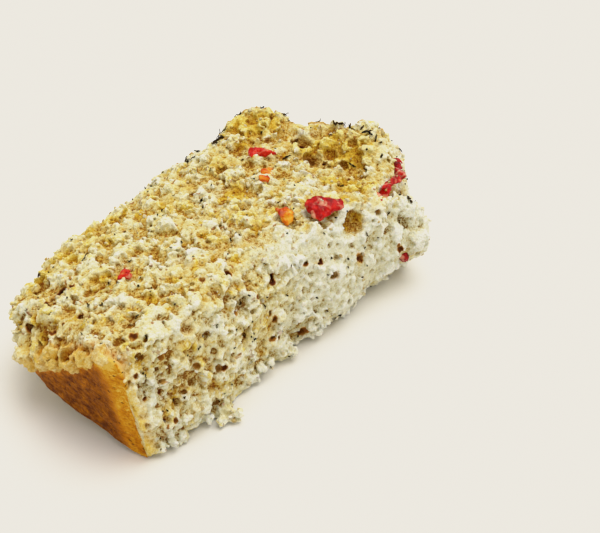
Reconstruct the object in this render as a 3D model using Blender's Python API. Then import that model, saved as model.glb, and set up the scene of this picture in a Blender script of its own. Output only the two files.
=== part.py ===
"""A hand-torn chunk of herb and dried-tomato beer bread.

The chunk is one broad piece of crumb with the smooth base crust of the loaf on
its left end (-X), the lumpy herbed top crust on its right end (+X), a torn
face along its front (-Y) and a broken top that slopes to the back (+Y).  It
lies on a flat underside.  Four bits of dried tomato sit in pockets in the
crumb.  Sizes are in millimetres up to the last step, then metres.
"""

import bmesh
import bpy
from math import exp, radians
from mathutils import Matrix, Vector, noise
import numpy as np

# ----------------------------------------------------------- named sizes (mm)
MM = 0.001
CHUNK_LEFT = -52.0          # the loft starts past the base crust, which trims it
CHUNK_RIGHT = 61.6          # tip of the herbed end
LOFT_STEPS = 78             # rings along the chunk
RING_POINTS = 84            # points round one ring

# The outline of the chunk at a few places along it.  Each row is one station:
#   x, foot y, foot z (front lower edge), ridge y, ridge z (front upper edge),
#   back y, back z (back upper edge), heel y (back lower edge)
STATIONS = (
    (-52.0, -6.4, 0.0, -2.5, 27.4, 36.0, 15.4, 27.0),
    (-46.0, -7.4, 0.0, -3.4, 28.6, 36.6, 16.4, 28.0),
    (-35.0, -11.6, 0.0, -8.4, 30.2, 37.6, 17.6, 30.0),
    (-22.0, -14.4, 0.0, -11.4, 31.2, 37.4, 19.0, 31.5),
    (-9.0, -16.2, 0.2, -13.4, 31.4, 36.8, 20.6, 32.0),
    (3.0, -19.0, 2.4, -15.4, 30.8, 33.4, 22.4, 29.0),
    (15.0, -24.0, 4.6, -19.2, 30.0, 30.4, 24.8, 26.0),
    (27.0, -26.0, 7.6, -23.6, 28.4, 27.4, 27.0, 22.5),
    (36.0, -29.4, 8.6, -27.4, 25.8, 26.4, 28.8, 20.0),
    (43.6, -32.0, 9.0, -30.4, 20.8, 25.6, 30.4, 17.5),
    (48.0, -25.4, 6.0, -22.8, 24.8, 23.8, 31.2, 15.0),
    (53.6, -19.6, 4.0, -18.6, 26.4, 17.2, 30.4, 11.0),
    (58.4, -15.6, 5.0, -14.6, 24.4, 6.2, 26.4, 3.0),
    (61.6, -9.6, 9.0, -9.0, 19.0, -1.6, 19.0, -3.6),
)
EDGE_ROUND_CUTS = 3         # corner-cutting passes that round each ring
# How far the front line on the table lies behind the lower front edge: the torn
# face is undercut towards the right
UNDERCUT = ((-52.0, 2.2), (-30.0, 2.4), (-9.0, 3.6), (8.0, 4.6), (24.0, 8.6), (42.0, 9.4), (61.6, 6.0))

# Base crust: the flat end face through these points, leaning out a little
# towards its top.
CRUST = ((-42.2, -5.8, 0.0), (-46.3, -3.2, 28.0), (-37.9, 19.3, 5.0))
# Broken facets, each through three points: the underside rises to the back
# left corner, which is broken off below by a slant; above the crust's sloping
# upper edge the crumb is broken back.
HEEL = ((-42.2, -6.4, 0.0), (-37.9, 19.3, 4.8), (12.0, 33.0, 0.0))
SLANT = ((-37.9, 19.3, 4.8), (-40.0, 22.2, 10.0), (-32.4, 34.0, 14.6))
BREAK = ((-40.0, 22.2, 10.0), (-46.3, -3.2, 28.0), (-31.6, 34.4, 15.0))

# Lumps that stand proud of the loft: x, y, z, radius, flattening in z
LUMPS = {
    "end_lobe_back": (46.6, 14.8, 21.6, 10.6, 0.92),
    "end_lobe_front": (52.6, -8.4, 19.8, 11.0, 0.98),
    "end_shoulder": (43.6, -15.4, 17.8, 10.0, 0.86),
    "left_knob": (-32.0, 29.6, 13.4, 5.4, 0.90),
    "left_knob_low": (-37.4, 18.6, 12.4, 4.6, 0.95),
    "back_knob": (-8.6, 33.4, 14.4, 5.2, 0.95),
    "back_knob_mid": (20.4, 24.0, 19.6, 5.6, 0.95),
    "foot_tip": (-22.4, -15.6, 0.4, 4.2, 0.80),
    "foot_lump": (1.4, -17.0, 2.4, 3.4, 0.80),
    "foot_corner": (-34.4, -9.2, 0.6, 3.4, 0.90),
    "lip_right": (40.4, -27.6, 13.0, 5.4, 1.00),
}
# Hollows pressed into the surface: x, y, z, radius, depth
HOLLOWS = {
    "end_notch": (55.6, 8.4, 27.6, 6.0, 4.6),
    "valley_high": (49.0, 3.6, 28.0, 5.6, 3.0),
    "valley_mid": (41.4, -2.6, 28.6, 5.0, 2.6),
    "valley_low": (33.6, -8.6, 29.0, 4.4, 2.0),
    "big_pore": (21.0, -22.6, 25.6, 3.4, 3.6),
    "side_pore": (31.0, -27.0, 22.6, 3.0, 1.6),
    "foot_gap": (2.8, -18.4, 5.4, 3.2, 2.4),
    "crevice_a": (-29.0, 18.4, 19.6, 3.2, 2.2),
    "crevice_b": (-33.4, 22.6, 15.8, 3.2, 2.6),
    "pit_left": (-31.2, -6.4, 30.0, 3.4, 2.2),
    "pit_back": (-16.0, 2.4, 27.0, 3.2, 1.4),
}
# Torn relief: wavelength, height
RELIEF = ((15.0, 1.15), (6.4, 0.95), (3.1, 0.50))
RELIEF_SEED = (13.7, 4.1, 29.3)
CRUST_CALM = 4.0            # the relief fades over this width towards the crust
VOXEL = 1.15                # size of the cells that fuse loft and lumps
BREAD_TRIANGLES = 8200

GAP = 0.35                  # room left between a tomato bit and its pocket

# Tomato bits: centre, length, width, thickness, turn about Z, tip about the
# long axis, bend of the long axis
TOMATO = {
    "tomato_ridge": ((17.4, -16.8, 29.4), 8.6, 6.4, 2.9, -62.0, 28.0, 0.5),
    "tomato_side": ((41.2, -22.4, 25.0), 12.6, 3.8, 2.9, 9.0, 34.0, -1.2),
    "tomato_top": ((34.4, 7.9, 28.9), 7.0, 3.4, 2.6, -62.0, 8.0, 0.6),
    "tomato_orange": ((11.2, -11.2, 29.8), 5.6, 4.4, 2.8, 30.0, 10.0, 0.4),
}

COLOURS = {
    "bread": ((0.60, 0.44, 0.17), 0.88),
    "tomato_ridge": ((0.46, 0.020, 0.014), 0.34),
    "tomato_side": ((0.36, 0.016, 0.014), 0.36),
    "tomato_top": ((0.48, 0.030, 0.016), 0.36),
    "tomato_orange": ((0.62, 0.11, 0.012), 0.38),
}


def clear_scene():
    for obj in list(bpy.data.objects):
        bpy.data.objects.remove(obj, do_unlink=True)


def material(name):
    colour, roughness = COLOURS[name]
    mat = bpy.data.materials.new(name + "_mat")
    mat.use_nodes = True
    shader = mat.node_tree.nodes["Principled BSDF"]
    shader.inputs["Base Color"].default_value = (*colour, 1.0)
    shader.inputs["Roughness"].default_value = roughness
    shader.inputs["Metallic"].default_value = 0.0
    mat.diffuse_color = (*colour, 1.0)
    return mat


def new_object(name, bm):
    mesh = bpy.data.meshes.new(name)
    bm.to_mesh(mesh)
    bm.free()
    obj = bpy.data.objects.new(name, mesh)
    bpy.context.scene.collection.objects.link(obj)
    return obj


def flatten_modifiers(obj):
    """Replace the object's mesh by what its modifiers make of it."""
    bpy.context.view_layer.update()
    graph = bpy.context.evaluated_depsgraph_get()
    mesh = bpy.data.meshes.new_from_object(obj.evaluated_get(graph))
    obj.modifiers.clear()
    obj.data = mesh


# -------------------------------------------------------------- the loft
def smooth_between(x, table):
    """Stations are joined by a curve through them with eased slopes."""
    xs = [row[0] for row in table]
    i = max(0, min(len(xs) - 2, int(np.searchsorted(xs, x)) - 1))
    left, right = table[i], table[i + 1]
    before = table[max(i - 1, 0)]
    after = table[min(i + 2, len(table) - 1)]
    span = right[0] - left[0]
    t = min(1.0, max(0.0, (x - left[0]) / span))
    out = []
    for k in range(1, len(left)):
        a, b = left[k], right[k]
        ma = 0.6 * span * (b - before[k]) / max(right[0] - before[0], 1e-6)
        mb = 0.6 * span * (after[k] - a) / max(after[0] - left[0], 1e-6)
        t2, t3 = t * t, t * t * t
        out.append((2 * t3 - 3 * t2 + 1) * a + (t3 - 2 * t2 + t) * ma
                   + (-2 * t3 + 3 * t2) * b + (t3 - t2) * mb)
    return out


def cut_corners(points, passes):
    """Chaikin corner cutting: each pass rounds a closed outline."""
    for _ in range(passes):
        nxt = []
        for p, q in zip(points, points[1:] + points[:1]):
            nxt.append((0.78 * p[0] + 0.22 * q[0], 0.78 * p[1] + 0.22 * q[1]))
            nxt.append((0.22 * p[0] + 0.78 * q[0], 0.22 * p[1] + 0.78 * q[1]))
        points = nxt
    return points


def evenly(points, count):
    pts = np.array(points + points[:1])
    run = np.concatenate([[0.0], np.cumsum(np.hypot(*np.diff(pts, axis=0).T))])
    at = np.linspace(0.0, run[-1], count, endpoint=False)
    return np.column_stack([np.interp(at, run, pts[:, 0]), np.interp(at, run, pts[:, 1])])


def ring(x):
    foot_y, foot_z, ridge_y, ridge_z, back_y, back_z, heel_y = smooth_between(x, STATIONS)
    mid_y = 0.5 * (ridge_y + back_y)
    crown = 0.5 * (ridge_z + back_z) + 1.6        # the top is gently crowned
    outline = [
        (foot_y + np.interp(x, *zip(*UNDERCUT)), -3.4),   # underside, front
        (foot_y, foot_z + 1.2),                    # lower front edge
        (0.5 * (foot_y + ridge_y) - 0.7, 0.5 * (foot_z + ridge_z)),
        (ridge_y, ridge_z),                        # ridge
        (0.55 * ridge_y + 0.45 * mid_y, 0.5 * (ridge_z + crown)),
        (mid_y, crown),
        (back_y, back_z),                          # upper back edge
        (0.4 * back_y + 0.6 * heel_y, 0.45 * back_z),
        (heel_y, -3.4),                            # underside, back
    ]
    return evenly(cut_corners(outline, EDGE_ROUND_CUTS), RING_POINTS)


def loft():
    bm = bmesh.new()
    rings = []
    for i in range(LOFT_STEPS + 1):
        x = CHUNK_LEFT + (CHUNK_RIGHT - CHUNK_LEFT) * i / LOFT_STEPS
        rings.append([bm.verts.new((x, y, z)) for y, z in ring(x)])
    for a, b in zip(rings, rings[1:]):
        for k in range(RING_POINTS):
            m = (k + 1) % RING_POINTS
            bm.faces.new((a[k], b[k], b[m], a[m]))
    bm.faces.new(list(rings[0]))
    bm.faces.new(list(reversed(rings[-1])))
    for x, y, z, radius, flat in LUMPS.values():
        made = bmesh.ops.create_icosphere(bm, subdivisions=3, radius=radius)["verts"]
        bmesh.ops.scale(bm, verts=made, vec=(1.0, 1.0, flat))
        bmesh.ops.translate(bm, verts=made, vec=(x, y, z))
    bmesh.ops.recalc_face_normals(bm, faces=bm.faces)
    return bm


# -------------------------------------------------------------- torn relief
def plane_of(points, outward=(-1, 0, 0)):
    """Plane through three points; its normal is on the side of outward."""
    a, b, c = (Vector(p) for p in points)
    normal = (b - a).cross(c - a).normalized()
    if normal.dot(Vector(outward)) < 0:
        normal.negate()
    return a, normal


def relief(p):
    """Height of the torn crumb over the smooth form at a point, in mm."""
    height = 0.0
    for k, (length, amount) in enumerate(RELIEF):
        q = Vector((p.x + RELIEF_SEED[0] * (k + 1), p.y + RELIEF_SEED[1], p.z + RELIEF_SEED[2])) / length
        height += amount * noise.noise(q, noise_basis="PERLIN_NEW")
    for x, y, z, radius, depth in HOLLOWS.values():
        away = (Vector((x, y, z)) - p).length / radius
        if away < 2.2:
            height -= depth * exp(-1.9 * away * away)
    return height


def shape_bread(obj):
    point, normal = plane_of(CRUST)
    bm = bmesh.new()
    bm.from_mesh(obj.data)
    bm.normal_update()
    moves = []
    for v in bm.verts:
        to_crust = -(v.co - point).dot(normal)     # distance inside the crust
        calm = min(1.0, max(0.0, to_crust / CRUST_CALM))
        moves.append(v.normal * (relief(v.co) * (0.25 + 0.75 * calm)))
    for v, move in zip(bm.verts, moves):
        v.co += move
    bm.to_mesh(obj.data)
    bm.free()


def slab_cutter(name, point, normal, size=140.0):
    """A block whose one face lies in the plane, on the side of the normal."""
    bm = bmesh.new()
    bmesh.ops.create_cube(bm, size=size)
    normal = Vector(normal).normalized()
    turn = Vector((0, 0, 1)).rotation_difference(normal).to_matrix().to_4x4()
    where = Matrix.Translation(Vector(point) + normal * size / 2)
    bmesh.ops.transform(bm, matrix=where @ turn, verts=bm.verts)
    obj = new_object(name, bm)
    obj.hide_render = True
    obj.display_type = "WIRE"
    return obj


def cut(obj, cutter):
    mod = obj.modifiers.new("cut", "BOOLEAN")
    mod.operation = "DIFFERENCE"
    mod.object = cutter
    mod.solver = "EXACT"
    flatten_modifiers(obj)
    bpy.data.objects.remove(cutter, do_unlink=True)


# -------------------------------------------------------------- tomato bits
def tomato_bm(name, grow=0.0):
    """A flat, wrinkled, slightly bent bit; grow makes the pocket's cutter."""
    centre, length, width, thick, turn, tip, bend = TOMATO[name]
    bm = bmesh.new()
    bmesh.ops.create_icosphere(bm, subdivisions=3, radius=1.0)
    seed = Vector((centre[0], centre[1], 7.0))
    for v in bm.verts:
        d = v.co.normalized()
        wobble = 1.0 + 0.20 * noise.noise(d * 1.5 + seed) + 0.09 * noise.noise(d * 3.4 + seed)
        v.co = Vector((d.x * (length / 2 * wobble + grow),
                       d.y * (width / 2 * wobble + grow),
                       d.z * (thick / 2 * (0.5 + 0.5 * wobble) + grow)))
        v.co.z += bend * (2.0 * v.co.x / length) ** 2 - 0.5 * bend
    spin = Matrix.Rotation(radians(turn), 4, "Z") @ Matrix.Rotation(radians(tip), 4, "X")
    bmesh.ops.transform(bm, matrix=Matrix.Translation(Vector(centre)) @ spin, verts=bm.verts)
    bmesh.ops.recalc_face_normals(bm, faces=bm.faces)
    return bm


def place(obj, shift):
    """Millimetres to metres, with the frame's origin under the middle."""
    for v in obj.data.vertices:
        v.co = (v.co + shift) * MM
    obj.data.update()


def finish(obj, name):
    obj.data.materials.clear()
    obj.data.materials.append(material(name))
    obj.data.shade_smooth()
    obj.data.set_sharp_from_angle(angle=radians(60.0))


def build():
    clear_scene()
    bread = new_object("bread", loft())
    fuse = bread.modifiers.new("fuse", "REMESH")
    fuse.mode = "VOXEL"
    fuse.voxel_size = VOXEL
    flatten_modifiers(bread)
    shape_bread(bread)
    thin = bread.modifiers.new("thin", "DECIMATE")
    thin.decimate_type = "COLLAPSE"
    thin.use_collapse_triangulate = True
    count = sum(len(p.vertices) - 2 for p in bread.data.polygons)
    thin.ratio = min(1.0, BREAD_TRIANGLES / count)
    flatten_modifiers(bread)

    cut(bread, slab_cutter("floor_cut", (0, 0, 0), (0, 0, -1)))
    cut(bread, slab_cutter("heel_cut", *plane_of(HEEL, (0, 0, -1))))
    cut(bread, slab_cutter("crust_cut", *plane_of(CRUST)))
    cut(bread, slab_cutter("slant_cut", *plane_of(SLANT)))
    cut(bread, slab_cutter("break_cut", *plane_of(BREAK)))
    for name in TOMATO:
        cut(bread, new_object(name + "_pocket", tomato_bm(name, GAP)))

    # keep the one body that holds the underside, without crumbs cut loose
    bm = bmesh.new()
    bm.from_mesh(bread.data)
    bmesh.ops.remove_doubles(bm, verts=bm.verts, dist=1e-4)
    seen, bodies = set(), []
    for start in bm.verts:
        if start in seen:
            continue
        stack, body = [start], []
        seen.add(start)
        while stack:
            v = stack.pop()
            body.append(v)
            for e in v.link_edges:
                w = e.other_vert(v)
                if w not in seen:
                    seen.add(w)
                    stack.append(w)
        bodies.append(body)
    bodies.sort(key=len)
    for body in bodies[:-1]:
        bmesh.ops.delete(bm, geom=body, context="VERTS")
    bm.to_mesh(bread.data)
    bm.free()

    pieces = {"bread": bread}
    for name in TOMATO:
        pieces[name] = new_object(name, tomato_bm(name))

    xyz = np.array([v.co for v in bread.data.vertices])
    low, high = xyz.min(axis=0), xyz.max(axis=0)
    shift = Vector((-(low[0] + high[0]) / 2, -(low[1] + high[1]) / 2, -low[2]))
    for name, obj in pieces.items():
        place(obj, shift)
        finish(obj, name)


build()
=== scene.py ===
"""Looks of the torn chunk of herb and tomato beer bread.

The crumb is made as a field on a fine grid round the solid: lumps, crevices,
dimples and pores are pressed into it, and its surface is then meshed in closed
pieces (top left, top right, torn front, rest).  The base crust, the tomato
bits, the herbs and the loose grains are pieces of their own.  Lengths are in
millimetres until a mesh is made.
"""
import math
import time

import bpy
import numpy as np
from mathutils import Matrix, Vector
from mathutils.bvhtree import BVHTree


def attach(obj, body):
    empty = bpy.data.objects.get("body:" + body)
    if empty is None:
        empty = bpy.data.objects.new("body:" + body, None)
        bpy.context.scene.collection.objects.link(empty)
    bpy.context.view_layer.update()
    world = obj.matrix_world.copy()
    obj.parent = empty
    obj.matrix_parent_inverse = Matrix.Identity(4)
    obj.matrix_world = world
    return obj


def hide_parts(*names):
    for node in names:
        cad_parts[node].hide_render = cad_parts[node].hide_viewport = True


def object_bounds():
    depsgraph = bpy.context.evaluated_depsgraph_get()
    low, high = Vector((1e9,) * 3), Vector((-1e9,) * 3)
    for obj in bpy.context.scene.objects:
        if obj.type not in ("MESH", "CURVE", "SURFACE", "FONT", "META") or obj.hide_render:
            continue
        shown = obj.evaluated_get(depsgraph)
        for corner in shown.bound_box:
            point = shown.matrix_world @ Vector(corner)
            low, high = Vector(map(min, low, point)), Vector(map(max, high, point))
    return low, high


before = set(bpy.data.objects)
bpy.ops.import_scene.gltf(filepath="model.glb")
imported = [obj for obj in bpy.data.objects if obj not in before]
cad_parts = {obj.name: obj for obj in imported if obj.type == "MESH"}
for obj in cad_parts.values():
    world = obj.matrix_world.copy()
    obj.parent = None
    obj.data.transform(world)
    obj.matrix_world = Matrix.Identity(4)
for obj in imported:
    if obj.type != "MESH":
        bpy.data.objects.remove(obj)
CAD_LOW, CAD_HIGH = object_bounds()

START = time.perf_counter()
MM = 0.001
F32 = np.float32


def note(words):
    print(f"[{time.perf_counter() - START:6.1f}s] {words}", flush=True)


# ------------------------------------------------------------------ the view
IMAGE_W, IMAGE_H = 600, 533
LENS, SENSOR = 85.0, 36.0
CAM_POS = Vector((-222.5691, -136.5648, 198.1931))      # mm
CAM_AIM = Vector((2.3323, -17.2129, 17.5178))
FOCAL_PX = LENS / SENSOR * IMAGE_W
FORWARD = (CAM_AIM - CAM_POS).normalized()
RIGHT = FORWARD.cross(Vector((0, 0, 1))).normalized()
UP = RIGHT.cross(FORWARD)


def pixel_ray(px, py):
    return (FORWARD + RIGHT * ((px - IMAGE_W / 2) / FOCAL_PX)
            - UP * ((py - IMAGE_H / 2) / FOCAL_PX)).normalized()


# --------------------------------------------------------- the solid, in mm
def node_arrays(name):
    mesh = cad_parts[name].data
    co = np.empty(len(mesh.vertices) * 3)
    mesh.vertices.foreach_get("co", co)
    mesh.calc_loop_triangles()
    tri = np.empty(len(mesh.loop_triangles) * 3, np.int32)
    mesh.loop_triangles.foreach_get("vertices", tri)
    return co.reshape(-1, 3) * 1000.0, tri.reshape(-1, 3)


def tree_of(co, tri):
    return BVHTree.FromPolygons([Vector(c) for c in co], [tuple(int(i) for i in t) for t in tri])


BREAD_CO, BREAD_TRI = node_arrays("bread")
BREAD_BVH = tree_of(BREAD_CO, BREAD_TRI)


def seen_point(px, py):
    """Where the line of sight through a pixel meets the solid, and its normal."""
    place, normal, _, _ = BREAD_BVH.ray_cast(CAM_POS, pixel_ray(px, py))
    if place is None:
        return None, None
    if normal.dot(FORWARD) > 0:
        normal = -normal
    return place, normal


# The base crust's plane and its two corners at the torn face, C low and B high
SHIFT = Vector((-8.7392, -2.9490, 0.0))
CORNER_C, CORNER_B, CORNER_D, CORNER_E = (Vector(p) + SHIFT for p in (
    (-42.2, -5.8, 0.0), (-46.3, -3.2, 28.0), (-37.9, 19.3, 5.0), (-40.0, 22.2, 10.0)))
CRUST_N = (CORNER_B - CORNER_C).cross(CORNER_D - CORNER_C).normalized()
if CRUST_N.x > 0:
    CRUST_N.negate()
EDGE_BC = (CORNER_B - CORNER_C).normalized()            # along the torn edge
INTO = CRUST_N.cross(EDGE_BC)                           # across the crust, away from that edge
if INTO.dot(CORNER_D - CORNER_C) < 0:
    INTO.negate()

BELOW = CRUST_N.cross((CORNER_E - CORNER_B).normalized())   # down from the crust's upper edge
if BELOW.dot(CORNER_C - CORNER_B) < 0:
    BELOW.negate()


def on_crust_plane(px, py):
    ray = pixel_ray(px, py)
    return CAM_POS + ray * ((CORNER_C - CAM_POS).dot(CRUST_N) / ray.dot(CRUST_N))


STREAK = (on_crust_plane(128, 448) - on_crust_plane(48, 388)).normalized()
ACROSS = CRUST_N.cross(STREAK)

# ------------------------------------------------------------------ the grid
H = 0.25
MARGIN = 2.6
LOW = np.array([CAD_LOW.x * 1000, CAD_LOW.y * 1000, 0.0]) - (MARGIN + 0.8, MARGIN, 1.5)
HIGH = np.array([CAD_HIGH.x * 1000, CAD_HIGH.y * 1000, CAD_HIGH.z * 1000]) + (MARGIN, MARGIN, MARGIN)
SIZE = np.ceil((HIGH - LOW) / H).astype(int) + 1
AXES = [(LOW[k] + H * np.arange(SIZE[k])).astype(F32) for k in range(3)]
GX, GY, GZ = AXES[0][:, None, None], AXES[1][None, :, None], AXES[2][None, None, :]


def lerp_axis(a, at, axis):
    i = np.clip(np.floor(at).astype(int), 0, a.shape[axis] - 2)
    t = np.clip(at - i, 0, 1).astype(F32)
    shape = [1, 1, 1]
    shape[axis] = -1
    t = t.reshape(shape)
    return np.take(a, i, axis) * (1 - t) + np.take(a, i + 1, axis) * t


def spline_axis(a, at, axis):
    """Cubic B-spline resampling along one axis."""
    i = np.floor(at).astype(int)
    t = (at - i).astype(F32)
    w = ((1 - t) ** 3 / 6, (3 * t ** 3 - 6 * t ** 2 + 4) / 6,
         (-3 * t ** 3 + 3 * t ** 2 + 3 * t + 1) / 6, t ** 3 / 6)
    shape = [1, 1, 1]
    shape[axis] = -1
    out = None
    for k in range(4):
        part = np.take(a, np.clip(i + k - 1, 0, a.shape[axis] - 1), axis) * w[k].reshape(shape).astype(F32)
        out = part if out is None else out + part
    return out


def lattice_noise(length, seed):
    """Smooth noise over the grid, about -1 to 1, with lumps of this length."""
    rng = np.random.default_rng(seed)
    step = length / 2.0
    n = [int((HIGH[k] - LOW[k]) / step) + 5 for k in range(3)]
    a = rng.uniform(-1, 1, n).astype(F32)
    for axis in range(3):
        at = (AXES[axis] - LOW[axis]) / step + 1.5
        a = spline_axis(a, at, axis)
    return a * F32(1.9)


def point_noise(p, length, seed):
    """Smooth noise at points, -1 to 1, from hashed lattice values."""
    q = np.asarray(p) / length
    i = np.floor(q).astype(np.int64)
    t = q - i
    t = t * t * t * (t * (t * 6 - 15) + 10)
    out = 0
    for a in (0, 1):
        for b in (0, 1):
            for c in (0, 1):
                h = ((i[:, 0] + a) * 73856093) ^ ((i[:, 1] + b) * 19349663) ^ ((i[:, 2] + c) * 83492791) ^ (seed * 2654435761)
                h = (h ^ (h >> 13)) * 1274126177
                h = (h ^ (h >> 16)) & 0xFFFFFF
                v = h / 0x7FFFFF - 1.0
                w = ((t[:, 0] if a else 1 - t[:, 0]) * (t[:, 1] if b else 1 - t[:, 1]) * (t[:, 2] if c else 1 - t[:, 2]))
                out = out + w * v
    return out


def coarse_fields():
    """Distance to the solid and the direction of its nearest face, on a coarse grid."""
    h = 1.2
    n = np.ceil((HIGH - LOW) / h).astype(int) + 1
    dist = np.empty(n, F32)
    facing = np.empty((*n, 3), F32)
    upwards = Vector((0, 0, 1))
    for i in range(n[0]):
        x = LOW[0] + h * i
        for j in range(n[1]):
            y = LOW[1] + h * j
            hits, z = [], -20.0
            while len(hits) < 24:
                place = BREAD_BVH.ray_cast(Vector((x + 1.3e-3, y + 0.7e-3, z)), upwards)[0]
                if place is None:
                    break
                hits.append(place.z)
                z = place.z + 1e-3
            for k in range(n[2]):
                zz = LOW[2] + h * k
                place, normal, _, d = BREAD_BVH.find_nearest(Vector((x, y, zz)))
                inside = sum(1 for q in hits if q < zz) % 2 == 1
                dist[i, j, k] = -d if inside else d
                facing[i, j, k] = normal
    out = []
    for a in (dist, facing[..., 0], facing[..., 1], facing[..., 2]):
        for axis in range(3):
            a = lerp_axis(a, (AXES[axis] - LOW[axis]) / h, axis)
        out.append(a.astype(F32))
    return out


def smooth01(x, a, b):
    t = np.clip((x - a) / (b - a), 0, 1)
    return t * t * (3 - 2 * t)


def surface_samples(count, seed):
    """Random points on the solid, even by area, with normals."""
    rng = np.random.default_rng(seed)
    a, b, c = (BREAD_CO[BREAD_TRI[:, k]] for k in range(3))
    cross = np.cross(b - a, c - a)
    area = np.linalg.norm(cross, axis=1)
    pick = rng.choice(len(area), size=count, p=area / area.sum())
    u, v = rng.random(count), rng.random(count)
    flip = u + v > 1
    u[flip], v[flip] = 1 - u[flip], 1 - v[flip]
    p = a[pick] + (b - a)[pick] * u[:, None] + (c - a)[pick] * v[:, None]
    n = cross[pick] / np.maximum(area[pick], 1e-9)[:, None]
    return p, n, rng


WARP = None
HOLES = []


def near_cells(x, y, z, reach):
    lo = [max(0, int((q - reach - LOW[k]) / H) + 1) for k, q in enumerate((x, y, z))]
    hi = [min(SIZE[k], int((q + reach - LOW[k]) / H) + 2) for k, q in enumerate((x, y, z))]
    if lo[0] >= hi[0] or lo[1] >= hi[1] or lo[2] >= hi[2]:
        return None
    return tuple(slice(a, b) for a, b in zip(lo, hi))


def offsets(cells, x, y, z, warp):
    """Distances along each axis from a point to the cells, bent by the warp."""
    dx = (AXES[0][cells[0]] - x)[:, None, None]
    dy = (AXES[1][cells[1]] - y)[None, :, None]
    dz = (AXES[2][cells[2]] - z)[None, None, :]
    if warp:
        dx = dx + WARP[0][cells] * F32(warp)
        dy = dy + WARP[1][cells] * F32(warp)
        dz = dz + WARP[2][cells] * F32(warp)
    return dx, dy, dz


def stamp_lumps(field, points, radii, stretch, warp, tint, tints, soft=0.0):
    """Join ellipsoidal lumps to the field; each leaves its tint where it is outermost."""
    for n, ((x, y, z), r) in enumerate(zip(points, radii)):
        sx, sy, sz = stretch[n]
        cells = near_cells(x, y, z, r * max(sx, sy, sz) + H + 0.6 * warp)
        if cells is None:
            continue
        dx, dy, dz = offsets(cells, x, y, z, warp)
        ball = np.sqrt((dx / F32(sx)) ** 2 + (dy / F32(sy)) ** 2 + (dz / F32(sz)) ** 2) - F32(r)
        box = field[cells]
        closer = ball < box
        if soft:
            mix = np.clip(0.5 + 0.5 * (box - ball) / F32(soft), 0, 1)
            box[...] = box * (1 - mix) + ball * mix - F32(soft) * mix * (1 - mix)
        else:
            box[closer] = ball[closer]
        if tint is not None:
            tint[cells][closer] = tints[n]


def stamp_pores(field, points, radii, warp=0.0, stretch=None, soft=0.35):
    """Hollow out rounded pores of these radii."""
    for n, ((x, y, z), r) in enumerate(zip(points, radii)):
        sx, sy, sz = (1, 1, 1) if stretch is None else stretch[n]
        cells = near_cells(x, y, z, r * max(sx, sy, sz) + 2 * H + 0.6 * warp + soft)
        if cells is None:
            continue
        dx, dy, dz = offsets(cells, x, y, z, warp)
        hole = F32(r) - np.sqrt((dx / F32(sx)) ** 2 + (dy / F32(sy)) ** 2 + (dz / F32(sz)) ** 2)
        box = field[cells]
        k = F32(soft)
        mix = np.clip(0.5 + 0.5 * (hole - box) / k, 0, 1)
        box[...] = box * (1 - mix) + hole * mix + k * mix * (1 - mix)


def seeds_in_band(base, cell, lo, hi, seed):
    """One jittered point for each cell of a coarse lattice whose depth is in range."""
    rng = np.random.default_rng(seed)
    n = np.ceil((HIGH - LOW) / cell).astype(int)
    g = np.stack(np.meshgrid(*[np.arange(k) for k in n], indexing="ij"), -1).reshape(-1, 3)
    p = LOW + (g + rng.random(g.shape)) * cell
    i = np.clip(((p - LOW) / H).astype(int), 0, SIZE - 1)
    d = base[i[:, 0], i[:, 1], i[:, 2]]
    keep = (d > lo) & (d < hi)
    return p[keep], rng


# ------------------------------------------------- what the photo shows where
# x, y in the photo, radius in mm, depth factor: hollows that stand out
PORES = (
    (305, 264, 0.50, 1.0), (320, 262, 0.50, 0.8), (334, 275, 0.70, 1.0), (361, 258, 0.75, 1.0),
    (271, 277, 0.60, 1.0), (273, 282, 0.60, 1.0), (235, 312, 0.75, 1.0), (258, 297, 0.50, 1.0),
    (262, 302, 0.45, 1.0), (270, 313, 0.50, 0.9), (274, 319, 0.55, 0.9), (219, 369, 0.60, 0.7),
    (225, 368, 0.50, 0.7), (273, 338, 0.50, 0.9), (279, 338, 0.50, 0.9), (302, 331, 0.80, 0.9),
    (197, 366, 0.50, 0.8), (162, 358, 0.60, 0.7), (136, 376, 0.45, 0.9), (144, 398, 0.45, 0.8),
    (164, 420, 0.50, 0.7), (169, 426, 0.55, 0.8), (176, 420, 0.45, 0.7), (174, 428, 0.35, 0.7),
    (230, 402, 0.45, 0.8), (133, 336, 0.50, 0.7), (68, 287, 0.90, 0.8), (62, 292, 0.90, 0.8),
    (54, 298, 0.90, 0.9), (47, 304, 0.80, 0.8), (30, 328, 0.70, 0.5), (52, 333, 0.90, 0.6),
    (81, 316, 0.40, 0.9), (228, 273, 0.45, 0.8), (202, 278, 0.50, 0.6), (378, 211, 0.60, 0.8),
    (309, 161, 0.60, 0.6), (296, 140, 0.50, 0.5), (302, 148, 0.50, 0.5), (267, 140, 0.60, 0.5),
    (313, 164, 0.50, 0.5), (347, 180, 0.60, 0.5), (324, 164, 0.50, 0.5), (245, 337, 0.40, 0.8),
    (163, 382, 0.40, 0.8), (185, 392, 0.45, 0.7), (160, 392, 0.45, 0.8), (63, 324, 0.45, 0.7),
    (401, 250, 0.60, 0.9), (399, 246, 0.40, 0.8), (205, 362, 0.50, 0.6), (240, 355, 0.40, 0.6),
)
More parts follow.
